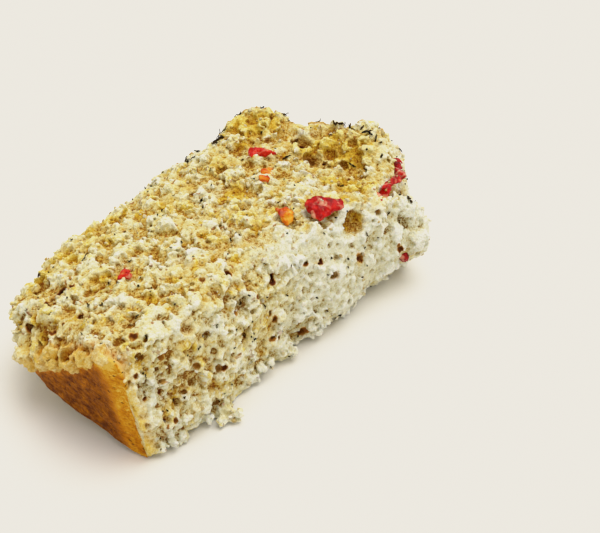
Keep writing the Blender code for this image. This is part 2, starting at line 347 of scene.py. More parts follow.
# x, y, radius in mm, depth as a share of the radius: broken bubbles with a
# smooth golden floor, and wider dips
BOWLS = (
    (353, 221, 2.6, 0.42), (356, 227, 1.8, 0.40), (387, 229, 1.7, 0.35), (190, 327, 2.4, 0.45), (289, 282, 1.2, 0.45),
    (337, 259, 0.9, 0.55), (377, 263, 1.1, 0.40), (313, 319, 1.0, 0.45), (149, 297, 1.9, 0.30),
    (153, 250, 2.0, 0.30), (124, 243, 1.6, 0.40), (216, 291, 1.3, 0.45), (119, 340, 1.5, 0.55),
    (139, 358, 1.2, 0.40), (207, 335, 1.0, 0.60), (236, 190, 2.2, 0.30), (304, 176, 1.8, 0.40),
    (245, 206, 1.8, 0.45), (248, 214, 1.6, 0.40), (280, 232, 1.2, 0.40), (94, 279, 1.4, 0.40),
    (104, 275, 1.3, 0.40), (202, 232, 1.6, 0.40), (258, 226, 1.3, 0.40), (174, 279, 1.2, 0.40),
    (300, 144, 2.6, 0.45), (312, 160, 2.4, 0.45), (294, 132, 1.8, 0.40), (344, 172, 2.2, 0.40), (330, 156, 2.0, 0.35),
    (331, 130, 1.6, 0.40), (352, 142, 1.5, 0.40), (365, 182, 1.6, 0.40), (333, 190, 1.4, 0.50),
    (326, 172, 1.4, 0.50), (343, 166, 1.3, 0.50), (243, 150, 1.5, 0.35), (222, 170, 1.6, 0.35),
    (372, 272, 1.0, 0.35), (352, 246, 0.8, 0.40), (330, 246, 0.8, 0.40), (298, 300, 0.9, 0.35),
    (100, 240, 1.6, 0.35), (72, 258, 1.6, 0.40), (40, 282, 1.7, 0.40), (206, 300, 1.1, 0.35),
    (60, 358, 1.5, 0.45), (44, 336, 1.6, 0.50), (128, 384, 1.0, 0.45), (156, 372, 1.0, 0.45),
    (178, 358, 1.1, 0.45), (192, 382, 1.0, 0.50), (176, 402, 1.1, 0.50), (214, 352, 1.0, 0.45),
    (258, 262, 1.0, 0.35), (322, 226, 1.0, 0.40), (404, 224, 1.2, 0.40), (396, 205, 1.2, 0.35),
)
# x, y, radius in mm, strength: places where the crumb is golden
GOLD = (
    (120, 274, 2.0, 0.9), (404, 252, 1.4, 0.9), (236, 190, 3.6, 1.0), (228, 200, 2.6, 0.7), (304, 176, 2.6, 0.9), (292, 177, 1.8, 0.6),
    (165, 204, 3.0, 0.8), (113, 219, 3.4, 0.8), (96, 236, 3.2, 0.7), (64, 257, 3.4, 1.0),
    (35, 279, 4.0, 1.0), (153, 250, 2.0, 1.0), (190, 327, 2.3, 1.0), (149, 297, 2.0, 0.8),
    (240, 215, 2.6, 0.7), (205, 232, 3.0, 0.6), (120, 340, 2.4, 0.7), (45, 338, 3.2, 0.9),
    (85, 362, 3.6, 0.9), (60, 358, 3.0, 0.7), (30, 352, 2.8, 0.6), (258, 118, 6.0, 1.0),
    (240, 124, 5.0, 1.0), (287, 118, 3.4, 0.5), (330, 140, 5.5, 0.9), (352, 150, 6.0, 1.0),
    (343, 178, 5.0, 1.0), (365, 182, 3.4, 0.9), (310, 152, 4.0, 1.0), (372, 150, 3.4, 0.6),
    (343, 200, 3.0, 0.8), (280, 212, 2.6, 1.0), (292, 226, 2.2, 0.7), (216, 291, 1.7, 0.9),
    (139, 357, 1.6, 0.8), (207, 336, 2.2, 0.8), (245, 337, 2.2, 0.6), (100, 278, 2.8, 0.6),
    (354, 222, 2.4, 0.7), (120, 345, 2.0, 0.6), (262, 226, 2.4, 0.6), (200, 262, 2.4, 0.5),
    (289, 282, 1.3, 0.7), (387, 229, 1.8, 0.5), (377, 263, 1.3, 0.7), (361, 262, 1.4, 0.7),
    (337, 260, 1.2, 0.7), (320, 263, 1.2, 0.7), (313, 319, 1.2, 0.7), (170, 278, 1.6, 0.8),
    (174, 400, 2.4, 0.6), (190, 350, 2.6, 0.6), (270, 326, 3.2, 0.5), (300, 226, 2.2, 0.6),
    (133, 265, 2.2, 0.5), (80, 250, 2.8, 0.6), (142, 211, 2.6, 0.5), (188, 185, 2.6, 0.6),
    (222, 160, 3.6, 0.7), (380, 205, 2.6, 0.5), (202, 300, 2.0, 0.4), (82, 322, 2.2, 0.5),
    (98, 372, 2.0, 0.6), (318, 232, 1.8, 0.4), (268, 244, 2.0, 0.4), (238, 262, 2.0, 0.4),
)
# x, y, radius in mm, strength: places where the crumb is whiter
PALE = (
    (290, 245, 6.0, 1.0), (270, 258, 4.6, 0.7), (325, 285, 7.0, 1.0), (390, 252, 6.0, 1.0),
    (345, 240, 4.5, 0.8), (304, 166, 3.0, 0.8), (287, 158, 3.2, 1.0), (316, 184, 3.4, 1.0),
    (250, 175, 2.4, 0.9), (205, 192, 3.4, 0.9), (150, 395, 4.0, 1.0), (140, 425, 4.0, 0.9),
    (180, 315, 3.4, 0.8), (160, 320, 3.6, 0.8), (215, 325, 3.6, 0.8), (105, 345, 2.6, 0.7),
    (185, 252, 3.4, 0.8), (132, 222, 2.4, 0.8), (62, 276, 3.0, 0.9), (82, 330, 3.0, 0.8),
    (250, 305, 3.4, 0.8), (295, 320, 5.0, 0.9), (350, 290, 5.0, 0.9), (255, 380, 5.0, 0.8),
    (222, 226, 2.6, 0.8), (40, 300, 2.4, 0.7), (20, 315, 3.0, 1.0), (345, 205, 2.6, 0.5),
    (120, 260, 3.0, 0.7), (100, 262, 2.4, 0.8), (110, 305, 3.0, 0.7), (165, 262, 2.6, 0.6),
    (75, 300, 2.6, 0.6), (230, 300, 2.4, 0.6), (330, 262, 3.4, 0.7), (365, 245, 3.0, 0.8),
    (405, 205, 4.0, 0.9), (415, 235, 4.0, 0.9), (296, 195, 3.0, 0.8), (275, 200, 2.4, 0.6),
    (237, 232, 2.2, 0.7), (222, 206, 1.6, 0.6), (192, 215, 2.2, 0.7), (140, 440, 3.0, 0.8),
    (175, 440, 4.0, 0.8), (215, 420, 5.0, 0.8), (390, 190, 2.6, 0.7), (312, 305, 3.4, 0.8),
)
# knobs of crumb that overhang the upper edge of the base crust, and lumps on
# the left end: x, y in the photo, radius, push out of the surface in mm
KNOBS = (
    (24, 352, 2.8, 0.9), (30, 360, 2.2, 1.2), (38, 352, 2.6, 0.8), (44, 362, 2.0, 1.2),
    (52, 355, 2.6, 0.8), (57, 364, 1.8, 1.1), (66, 357, 2.6, 0.8), (72, 365, 1.7, 1.0),
    (80, 356, 2.3, 0.6), (88, 361, 1.6, 0.8), (97, 355, 1.8, 0.3), (105, 358, 1.4, 0.1),
    (14, 316, 2.0, -0.2), (24, 300, 2.2, -0.6), (16, 334, 2.0, 0.2), (22, 342, 2.2, 0.4),
)

# lumps on the ragged lower edge of the torn face, then bites out of it
TIPS = (
    (319, 331, 1.6, 0.9), (331, 327, 1.4, 0.7), (340, 322, 1.6, 0.9), (312, 328, 1.2, 0.6), (293, 348, 1.2, 0.7),
    (272, 362, 1.3, 0.7), (256, 380, 1.3, 0.7), (248, 400, 1.1, 0.5), (240, 413, 1.1, 0.4), (222, 422, 1.1, 0.4),
    (210, 419, 0.9, 0.4), (188, 436, 1.3, 0.5), (176, 442, 1.2, 0.5), (160, 448, 1.2, 0.5), (358, 296, 1.4, 0.7),
    (384, 279, 1.2, 0.7), (402, 272, 1.2, 0.6), (414, 268, 1.2, 0.6), (428, 250, 1.3, 0.6), (425, 235, 1.2, 0.5),
    (262, 370, 1.0, 0.6), (300, 318, 1.2, 0.5), (350, 300, 1.2, 0.6),
)
NOTCHES = (
    (300, 338, 2.2, 0.6), (306, 336, 1.8, 0.6), (350, 314, 2.2, 0.6), (361, 303, 2.4, 0.6), (370, 294, 2.2, 0.6),
    (380, 290, 1.6, 0.5), (232, 430, 1.4, 0.5), (197, 434, 1.5, 0.5), (264, 384, 1.5, 0.5), (284, 366, 1.5, 0.5),
    (246, 416, 1.2, 0.5), (393, 284, 1.4, 0.5), (328, 336, 1.4, 0.5),
)


def placed(table):
    rows = []
    for px, py, r, s in table:
        p, n = seen_point(px, py)
        if p is not None:
            rows.append((p, n, r, s))
    return rows


# ------------------------------------------------------- landing on the crumb
def land(starts, rays, reach, field=None):
    """Follows rays to the crumb's surface; the place, its normal and whether it was met."""
    field = FIELDS["d"] if field is None else field
    p = np.array(starts, float)
    rays = np.array(rays, float)
    gone = np.zeros(len(p))
    met = np.zeros(len(p), bool)
    for _ in range(int(reach / 0.2)):
        inside = np.all((p > LOW + H) & (p < HIGH - H), axis=1)
        v = np.where(inside, sample(field, p), 1.0)
        met |= v < 0.03
        step = np.where(met, 0.0, np.clip(v * 0.6, 0.06, 0.6))
        p += rays * step[:, None]
        gone += step
        if met.all():
            break
    e = 0.5
    grad = np.stack([sample(field, p + np.eye(3)[k] * e) - sample(field, p - np.eye(3)[k] * e)
                     for k in range(3)], 1)
    grad /= np.maximum(np.linalg.norm(grad, axis=1), 1e-6)[:, None]
    return p, grad, met & (gone < reach)


def land_pixels(pixels, field=None):
    """Lands the sight lines through pixels of the photo."""
    starts, rays = [], []
    for px, py in pixels:
        ray = pixel_ray(px, py)
        t = 0.0
        place = BREAD_BVH.ray_cast(CAM_POS, ray)[0]
        t = (place - CAM_POS).length - 5.0 if place is not None else 250.0
        starts.append(CAM_POS + ray * t)
        rays.append(ray)
    return land(starts, rays, 40.0, field)


def landed(table, field):
    """Rows of a table with their places on the field's surface and the solid's normals."""
    q, m, met = land_pixels([row[:2] for row in table], field)
    rows = []
    for k, (px, py, r, share) in enumerate(table):
        n = seen_point(px, py)[1]
        if met[k] and n is not None:
            rows.append((q[k], np.array(n), r, share))
    return rows


def land_scatter(count, seed, keep=None):
    """Random places all over the crumb."""
    pts, nrm, rng = surface_samples(count, seed)
    p, n, met = land(pts + nrm * 2.4, -nrm, 7.0)
    met &= (-(p - np.array(CORNER_C)) @ np.array(CRUST_N)) > 2.4
    met &= p[:, 2] > 1.2
    if keep is not None:
        met &= keep(pts, nrm, rng)
    return p[met], n[met], rng


# ---------------------------------------------------------------- the crumb
def at_points(field, p):
    """Nearest grid values."""
    i = np.clip(np.round((p - LOW) / H).astype(int), 0, SIZE - 1)
    return field[i[:, 0], i[:, 1], i[:, 2]]


def crumb_fields():
    global WARP, HOLES
    HOLES = []
    base, nx, ny, nz = coarse_fields()
    note(f"coarse fields, grid {tuple(int(n) for n in SIZE)}")
    WARP = [(0.55 * lattice_noise(3.0, 31 + k) + 0.42 * lattice_noise(1.2, 41 + k)).astype(F32) for k in range(3)]
    note("warp")
    rx, ry, rz = GX - F32(CORNER_B.x), GY - F32(CORNER_B.y), GZ - F32(CORNER_B.z)

    def along(v):
        return rx * F32(v.x) + ry * F32(v.y) + rz * F32(v.z)
    to_crust = -along(CRUST_N)
    t = along(INTO)                                    # across the crust from its torn edge
    s = along(BELOW)                                   # down from its upper edge
    bend = np.clip((4.4 - t) / 4.4, 0, 1)
    crust = to_crust - 1.2 * bend * bend               # depth under the crust's skin
    ragged = (0.5 * WARP[0] + 0.5 * WARP[2]).astype(F32)
    on_crust = smooth01(t + ragged, -0.9, 0.3) * smooth01(s + ragged, -1.2, 0.3)
    torn = smooth01(-ny, 0.35, 0.8)                    # 1 on the torn front
    calm = torn * smooth01(GX - 0.25 * GZ, -20.0, -2.0) * (1 - 0.5 * smooth01(GX, 30.0, 45.0))
    still = np.maximum(calm, 0.65 * torn)
    under = smooth01(-nz, 0.6, 0.9)                    # 1 on the underside
    # the loaf's own top crust: the right end and the back beside it
    outer = smooth01(nx * 0.86 + ny * 0.48 + nz * 0.10, 0.35, 0.72) * smooth01(GX + 0.45 * GY, 22.0, 40.0)

    swell = (lattice_noise(12.0, 1) * 0.62 + lattice_noise(5.5, 2) * 0.50 - 0.15).astype(F32)
    swell *= 1 - 0.45 * calm
    clump = np.zeros(SIZE, F32)
    d = base + 0.95 - 0.45 * calm - swell + 0.22 * lattice_noise(2.4, 3)

    # lumps of torn crumb, their tops at uneven heights about the solid's face
    p, rng = seeds_in_band(base, 2.5, -2.8, -0.8, 11)
    quiet, rise = at_points(still, p), at_points(swell, p)
    top = rng.uniform(-0.55, 0.34, len(p)) * (1 - quiet) + rng.uniform(-0.25, 0.20, len(p)) * quiet
    r = -at_points(base, p) + top + rise
    keep = r > 0.55
    stamp_lumps(d, p[keep], r[keep], rng.uniform(0.75, 1.4, (len(p), 3))[keep], 1.5,
                clump, rng.uniform(-1, 1, len(p)).astype(F32)[keep], 0.5)
    note(f"lumps {keep.sum()}")
    # dips and swellings of 3 to 6 mm, most along the edges of the top
    pts, nrm, rng = surface_samples(900, 15)
    rim = (nrm[:, 2] > 0.25) & (nrm[:, 2] < 0.9)
    use = (sample(on_crust, pts) < 0.05) & (nrm[:, 2] > -0.5) & (rng.random(len(pts)) < np.where(rim, 0.75, 0.34))
    pts, nrm = pts[use], nrm[use]
    quiet = at_points(still, pts)
    radii = rng.uniform(1.5, 3.2, len(pts))
    dip = rng.random(len(pts)) < 0.5
    share = rng.uniform(0.13, 0.31, len(pts)) * (1 - 0.6 * quiet)
    stamp_pores(d, (pts + nrm * (radii * (1 - 2 * share) - 0.3)[:, None])[dip], radii[dip], 1.2,
                rng.uniform(0.75, 1.4, (len(pts), 3))[dip], 0.5)
    rise = rng.uniform(-0.1, 0.55, len(pts)) * (1 - 0.6 * quiet)
    stamp_lumps(d, (pts + nrm * (rise - radii)[:, None])[~dip], radii[~dip], rng.uniform(0.8, 1.3, (len(pts), 3))[~dip],
                1.2, None, None, 0.5)
    note(f"dips and swellings {len(pts)}")
    # drawn-out strands of the softest crumb, where the torn face is whitest
    pts, nrm, rng = surface_samples(2600, 16)
    quiet = at_points(calm, pts)
    use = (quiet > 0.45) & (rng.random(len(pts)) < 0.32)
    pts, nrm = pts[use], nrm[use]
    radii = rng.uniform(0.55, 1.15, len(pts))
    rise = rng.uniform(0.0, 0.45, len(pts))
    stretch = np.stack([rng.uniform(0.7, 1.1, len(pts)), rng.uniform(0.8, 1.1, len(pts)), rng.uniform(1.5, 2.6, len(pts))], 1)
    stamp_lumps(d, pts + nrm * (rise - 0.55 - radii)[:, None], radii, stretch, 1.4, None, None, 0.35)
    note(f"strands {len(pts)}")
    # knobs that overhang the base crust, and the ragged lower edge
    knobs, tips = placed(KNOBS), placed(TIPS)
    over = np.full(SIZE, 9.0, F32)
    stamp_lumps(over, [tuple(q + n * (k - r * 0.75)) for q, n, r, k in knobs],
                [r for q, n, r, k in knobs], [(1, 1, 1)] * len(knobs), 1.2, None, None)
    stamp_lumps(d, [tuple(q + n * (k - r * 0.75)) for q, n, r, k in tips],
                [r for q, n, r, k in tips], [(1, 1, 1)] * len(tips), 1.0, None, None, 0.4)
    d = np.minimum(d, over + 0.25 * WARP[1])
    notches = placed(NOTCHES)
    stamp_pores(d, [tuple(q + n * (r * (1 - 2 * k))) for q, n, r, k in notches], [r for q, n, r, k in notches], 1.0, None, 0.4)
    # smaller ones on and between them
    p, rng = seeds_in_band(d, 0.82, -0.50, 0.15, 12)
    quiet = at_points(still, p)
    r = rng.uniform(0.32, 0.72, len(p))
    lift = (0.03 + 0.27 * rng.random(len(p)) ** 2.4) * (1 - 0.55 * quiet)
    r = np.minimum(r, -at_points(d, p) + lift)
    keep = r > 0.28
    stamp_lumps(d, p[keep], r[keep], rng.uniform(0.65, 1.5, (len(p), 3))[keep], 0.7,
                clump, rng.uniform(-1, 1, len(p)).astype(F32)[keep], 0.12)
    note(f"small lumps {keep.sum()}")

    # broken bubbles, then the dark pores
    bowls = landed(BOWLS, d)
    stamp_pores(d, [tuple(q + n * (r * (1 - 2 * k))) for q, n, r, k in bowls], [r for q, n, r, k in bowls], 0.45, None, 0.3)
    pts, nrm, rng = surface_samples(3600, 21)
    on = sample(on_crust, pts) < 0.1
    pts, nrm = pts[on], nrm[on]
    radii = 0.40 + 0.9 * rng.random(len(pts)) ** 2.6
    share = rng.uniform(0.06, 0.32, len(pts)) * (1 - 0.70 * at_points(still, pts))
    rise = at_points(swell, pts)
    stamp_pores(d, pts + nrm * (radii * (1 - 2 * share) + rise - 0.15)[:, None], radii, 0.8,
                rng.uniform(0.7, 1.5, (len(pts), 3)), 0.16)
    for (px, py, *_), (q, n, r, k) in [(row, got) for row in PORES for got in landed([row], d)]:
        inward = 0.65 * np.array(pixel_ray(px, py)) - 0.35 * n
        inward /= np.linalg.norm(inward)
        HOLES.append((q + inward * (0.1 + 0.3 * r), q + inward * (0.2 + 1.3 * r * k), r, 0.25 + 0.75 * rng.random(),
                      rng.uniform(0.65, 1.55, 3)))
    stamp_pores(d, [h[0] for h in HOLES], [1.12 * h[2] for h in HOLES], 0.6, [h[4] for h in HOLES], 0.25)
    stamp_pores(d, [h[1] for h in HOLES], [h[2] for h in HOLES], 0.5, [h[4] for h in HOLES], 0.2)
    whole = d.copy()
    # the finest grain that still stands up: crumbs of a third of a millimetre
    p, rng = seeds_in_band(d, 0.60, -0.32, 0.06, 13)
    r = rng.uniform(0.22, 0.46, len(p))
    r = np.minimum(r, -at_points(d, p) + rng.uniform(0.04, 0.22, len(p)) * (1 - 0.45 * at_points(calm, p)))
    keep = r > 0.16
    stamp_lumps(d, p[keep], r[keep], rng.uniform(0.7, 1.5, (len(p), 3))[keep], 0.35,
                clump, (0.5 * at_points(clump, p) + rng.uniform(-0.5, 0.5, len(p))).astype(F32)[keep])
    d -= 0.12 * lattice_noise(0.9, 6) + 0.10 * lattice_noise(0.55, 7)
    note(f"pores and grains {keep.sum()}")

    free = np.minimum(over, 2.0) - 0.5                 # negative by the knobs
    d = np.maximum(d, np.minimum(base - 0.85, free))   # nothing else stands far proud
    d = d * (1 - 0.5 * under) + (base + 0.3) * 0.5 * under
    soft = base + 0.15 - 0.3 * swell
    # the crumb ends under the base crust, and overhangs its upper edge
    d = np.maximum(d, np.minimum((0.9 - crust) * on_crust - 6.0 * (1 - on_crust), free))
    beside = smooth01(s, -1.5, 0.5)
    d = np.maximum(d, np.minimum((0.15 + 1.15 * smooth01(t, -4.5, -0.8) - to_crust) * beside - 6.0 * (1 - beside), free))
    d = np.maximum(d, -GZ + F32(0.02))                 # flat where it rests
    shell = np.maximum(np.maximum(soft, -crust), crust - 1.3)
    shell = np.maximum(shell, -(t + 0.75 + 0.7 * ragged))
    shell = np.maximum(shell, -(s + 0.30 + 0.9 * ragged))
    shell = np.maximum(shell, -GZ + F32(0.01))
    return dict(d=d, whole=whole, base=base, torn=torn, calm=calm, crust=crust, across=t + 0 * crust,
                below=s + 0 * crust, clump=clump, outer=outer, shell=shell, under=under)


def box_blur(a, radius):
    """Mean over a cube, by running sums along each axis, twice."""
    r = max(1, int(round(radius / H)))
    for _ in range(2):
        for axis in range(3):
            pad = [(0, 0)] * 3
            pad[axis] = (r + 1, r)
            c = np.cumsum(np.pad(a, pad, mode="edge"), axis=axis, dtype=F32)
            n = a.shape[axis]
            a = (np.take(c, np.arange(2 * r + 1, n + 2 * r + 1), axis) - np.take(c, np.arange(0, n), axis)) / F32(2 * r + 1)
    return a


def sample(field, pts):
    """Trilinear values of a field at points in mm."""
    q = (pts - LOW) / H
    i = np.clip(np.floor(q).astype(int), 0, SIZE - 2)
    t = np.clip(q - i, 0, 1)
    out = 0
    for a in (0, 1):
        for b in (0, 1):
            for c in (0, 1):
                w = (t[:, 0] if a else 1 - t[:, 0]) * (t[:, 1] if b else 1 - t[:, 1]) * (t[:, 2] if c else 1 - t[:, 2])
                out = out + w * field[i[:, 0] + a, i[:, 1] + b, i[:, 2] + c]
    return out


def surface_net(d, low, h):
    """Closed surface where the field is zero: one vertex for each crossed cell."""
    s = d < 0
    c = np.zeros(tuple(n - 1 for n in s.shape), np.uint8)
    for i in (0, 1):
        for j in (0, 1):
            for k in (0, 1):
                c += s[i:s.shape[0] - 1 + i, j:s.shape[1] - 1 + j, k:s.shape[2] - 1 + k]
    cells = np.argwhere((c > 0) & (c < 8))
    ids = np.full(c.shape, -1, np.int32)
    ids[cells[:, 0], cells[:, 1], cells[:, 2]] = np.arange(len(cells), dtype=np.int32)
    del c
    corner = {}
    for i in (0, 1):
        for j in (0, 1):
            for k in (0, 1):
                corner[i, j, k] = d[cells[:, 0] + i, cells[:, 1] + j, cells[:, 2] + k].astype(np.float64)
    total = np.zeros((len(cells), 3))
    count = np.zeros(len(cells))
    for p in corner:
        for axis in range(3):
            if p[axis]:
                continue
            q = list(p)
            q[axis] = 1
            va, vb = corner[p], corner[tuple(q)]
            cross = (va < 0) != (vb < 0)
            t = np.where(cross, va / np.where(cross, va - vb, 1.0), 0.0)
            for k in range(3):
                total[:, k] += cross * (p[k] + (t if k == axis else 0.0))
            count += cross
    verts = (cells + total / count[:, None]) * h + low
    quads = []
    for axis in range(3):
        lo = [slice(None)] * 3
        hi = [slice(None)] * 3
        lo[axis], hi[axis] = slice(0, -1), slice(1, None)
        a, b = s[tuple(lo)], s[tuple(hi)]
        e = np.argwhere(a != b)
        o1, o2 = [k for k in range(3) if k != axis]
        ok = (e[:, o1] > 0) & (e[:, o2] > 0) & (e[:, o1] < s.shape[o1] - 1) & (e[:, o2] < s.shape[o2] - 1)
        e = e[ok]
        inside = a[e[:, 0], e[:, 1], e[:, 2]]
        ring = []
        for da, db in ((1, 1), (0, 1), (0, 0), (1, 0)):
            f = e.copy()
            f[:, o1] -= da
            f[:, o2] -= db
            ring.append(ids[f[:, 0], f[:, 1], f[:, 2]])
        q = np.stack(ring, 1)
        turn = inside if axis != 1 else ~inside
        q[~turn] = q[~turn][:, ::-1]
        quads.append(q)
    return verts, np.concatenate(quads)


def drop_islands(verts, quads, least):
    """Keeps only connected bodies of at least this many vertices."""
    label = np.arange(len(verts))
    edges = np.concatenate([quads[:, [0, 1]], quads[:, [1, 2]], quads[:, [2, 3]]])
    for _ in range(60):
        a, b = label[edges[:, 0]], label[edges[:, 1]]
        differ = a != b
        if not differ.any():
            break
        edges = edges[differ]
        a, b = a[differ], b[differ]
        low, high = np.minimum(a, b), np.maximum(a, b)
        order = np.argsort(-low, kind="stable")        # the lowest is written last
        label[high[order]] = low[order]
        while True:
            new = label[label]
            if np.array_equal(new, label):
                break
            label = new
    root, size = np.unique(label, return_counts=True)
    keep = np.isin(label, root[size >= least])
    index = np.cumsum(keep) - 1
    quads = quads[keep[quads[:, 0]]]
    return verts[keep], index[quads]


def mesh_object(name, verts_mm, faces, smooth=True):
    """A mesh object from arrays: points in mm, faces of three or four corners.

    None lies below the floor, and the tallest tips are drawn in close to the solid's top."""
    verts_mm = np.array(verts_mm, float)
    knee = CAD_HIGH.z * 1000 + 0.3
    over = np.maximum(verts_mm[:, 2] - knee, 0.0)
    verts_mm[:, 2] = np.maximum(np.minimum(verts_mm[:, 2], knee) + 0.55 * np.tanh(over / 0.55), 0.005)
    mesh = bpy.data.meshes.new(name)
    faces = np.asarray(faces)
    k = faces.shape[1]
    mesh.vertices.add(len(verts_mm))
    mesh.vertices.foreach_set("co", (np.asarray(verts_mm) * MM).astype(F32).ravel())
    mesh.loops.add(faces.size)
    mesh.loops.foreach_set("vertex_index", faces.astype(np.int32).ravel())
    mesh.polygons.add(len(faces))
    mesh.polygons.foreach_set("loop_start", np.arange(0, faces.size, k, dtype=np.int32))
    mesh.polygons.foreach_set("loop_total", np.full(len(faces), k, np.int32))
    mesh.update(calc_edges=True)
    mesh.validate()
    if smooth:
        mesh.polygons.foreach_set("use_smooth", np.ones(len(mesh.polygons), bool))
    obj = bpy.data.objects.new(name, mesh)
    bpy.context.scene.collection.objects.link(obj)
    return obj


def verts_of(obj):
    co = np.empty(len(obj.data.vertices) * 3, F32)
    obj.data.vertices.foreach_get("co", co)
    return co.reshape(-1, 3).astype(float) / MM


def triangles_in(obj):
    return sum(len(p.vertices) - 2 for p in obj.data.polygons)


def set_attribute(obj, name, values):
    values = np.asarray(values, F32)
    kind, field = ("FLOAT", "value") if values.ndim == 1 else ("FLOAT_VECTOR", "vector")
    layer = obj.data.attributes.new(name, kind, "POINT")
    layer.data.foreach_set(field, values.ravel())


def reduce_to(obj, triangles):
    have = triangles_in(obj)
    if have <= triangles:
        return
    mod = obj.modifiers.new("thin", "DECIMATE")
    mod.ratio = triangles / have
    mod.use_collapse_triangulate = True
    graph = bpy.context.evaluated_depsgraph_get()
    mesh = bpy.data.meshes.new_from_object(obj.evaluated_get(graph))
    obj.modifiers.clear()
    obj.data = mesh
    obj.data.polygons.foreach_set("use_smooth", np.ones(len(mesh.polygons), bool))


FIELDS = crumb_fields()


def make_crumb():
    f = FIELDS
    d = f["d"]
    occupied = np.clip(0.5 - d / F32(1.2 * H), 0, 1).astype(F32)
    near = box_blur(occupied, 0.5)
    wide = box_blur(occupied, 1.7)
    f["wide"] = wide
    del occupied
    note("cavities")

    # the seams between the pieces run wavily below the edges of the top
    top_at = F32(20.5) + 1.2 * np.sin(GX * 0.23) + 0.9 * np.sin(GY * 0.31 + 1.0) + 0.03 * GX - 0.22 * GY
    front_at = F32(-9.5) - 0.19 * GX + 1.2 * np.sin(GX * 0.37) + 0 * GZ
    middle = F32(2.0) + 0.8 * np.sin(GY * 0.4) + 0 * GZ
    lap = F32(0.5 * H)
    cuts = {
        "crumb_top_a": (np.maximum(top_at - GZ - lap, GX - middle - lap), 195000),
        "crumb_top_b": (np.maximum(top_at - GZ - lap, middle - GX - lap), 195000),
        "crumb_front": (np.maximum(GZ - top_at - lap, GY - front_at - lap), 195000),
        "crumb_rest": (np.maximum(GZ - top_at - lap, front_at - GY - lap), 150000),
    }
    gold, pale = placed(GOLD), placed(PALE)
    made, tones, places = [], [], []
    for name, (region, budget) in cuts.items():
        verts, quads = surface_net(np.maximum(d, region), LOW, H)
        verts, quads = drop_islands(verts, quads, 260)
        obj = mesh_object(name, verts, quads)
        before = len(quads) * 2
        reduce_to(obj, budget)
        co = verts_of(obj)
        # how enclosed each place is, near and wide, and how deep: the more enclosed, the deeper the painted shade
        hollow = sample(near, co) - 0.5
        broad = sample(wide, co) - 0.5
        depth = -sample(f["base"], co)
        tones.append(-(1.15 * hollow + 1.9 * broad + 0.20 * np.clip(depth, -1, 3)))
        places.append(co)
        set_attribute(obj, "depth", depth)
        set_attribute(obj, "crust", sample(f["crust"], co))
        set_attribute(obj, "across", sample(f["across"], co))
        set_attribute(obj, "below", sample(f["below"], co))
        set_attribute(obj, "torn", sample(f["torn"], co))
        set_attribute(obj, "calm", sample(f["calm"], co))
        set_attribute(obj, "clump", sample(f["clump"], co))
        set_attribute(obj, "outer", sample(f["outer"], co))
        for label, rows in (("gold", gold), ("pale", pale)):
            value = np.zeros(len(co))
            bent = co + 0.8 * np.stack([point_noise(co, 2.2, 90 + k) for k in range(3)], 1)
            for q, n, r, s in rows:
                away = np.linalg.norm(bent - np.array(q), axis=1) / r
                value = np.maximum(value, s * np.exp(-1.2 * away ** 2.6))
            set_attribute(obj, label, value)
        # painted shade for the pores, darkest towards their cores
        value = np.zeros(len(co))
        wander = 0.30 * point_noise(co, 0.55, 97) + 0.25 * point_noise(co, 1.1, 98)
        for near_end, far_end, r, s, stretch in HOLES:
            away = np.minimum(np.linalg.norm((co - near_end) / stretch, axis=1),
                              np.linalg.norm((co - far_end) / stretch, axis=1)) / (1.25 * r)
            value = np.maximum(value, s * smooth01(away + wander, 1.25, 0.65))
        set_attribute(obj, "hole", value)
        made.append(obj)
        note(f"{name}: {before} -> {triangles_in(obj)} triangles")
    # the tone runs evenly from the deepest crevice, 0, to the tips, 1; it sets the painted shade of the crevices and
    # the painted light of the tips
    everything = np.concatenate(tones)
    seen = np.concatenate([c[:, 2] > 1.0 for c in places])
    marks = np.percentile(everything[seen], np.linspace(0, 100, 41))
    for obj, value in zip(made, tones):
        set_attribute(obj, "tone", np.interp(value, marks, np.linspace(0, 1, 41)))
    return made


def make_crust():
    verts, quads = surface_net(FIELDS["shell"], LOW, H)
    verts, quads = drop_islands(verts, quads, 500)
    n = np.array(CRUST_N)
    rel = verts - np.array(CORNER_C)
    flow = np.stack([rel @ np.array(STREAK), rel @ np.array(ACROSS), rel @ n], 1)
    # fine furrows along the streaks
    q = flow * (0.5, 1.0, 1.0)
    furrow = 0.10 * point_noise(q, 0.9, 61) + 0.12 * point_noise(q, 2.2, 62) + 0.10 * point_noise(flow, 1.4, 63)
    verts = verts + n * (furrow * 0.8)[:, None]
    obj = mesh_object("base_crust", verts, quads)
    reduce_to(obj, 36000)
    co = verts_of(obj)
    rel = co - np.array(CORNER_C)
    set_attribute(obj, "flow", np.stack([rel @ np.array(STREAK), rel @ np.array(ACROSS), rel @ n], 1))
    set_attribute(obj, "rim", sample(FIELDS["across"], co))
    set_attribute(obj, "below", sample(FIELDS["below"], co))
    set_attribute(obj, "under_skin", sample(FIELDS["crust"], co))
    set_attribute(obj, "high", co[:, 2])
    note(f"base_crust: {triangles_in(obj)} triangles")
    return obj


crumbs = make_crumb()
base_crust = make_crust()


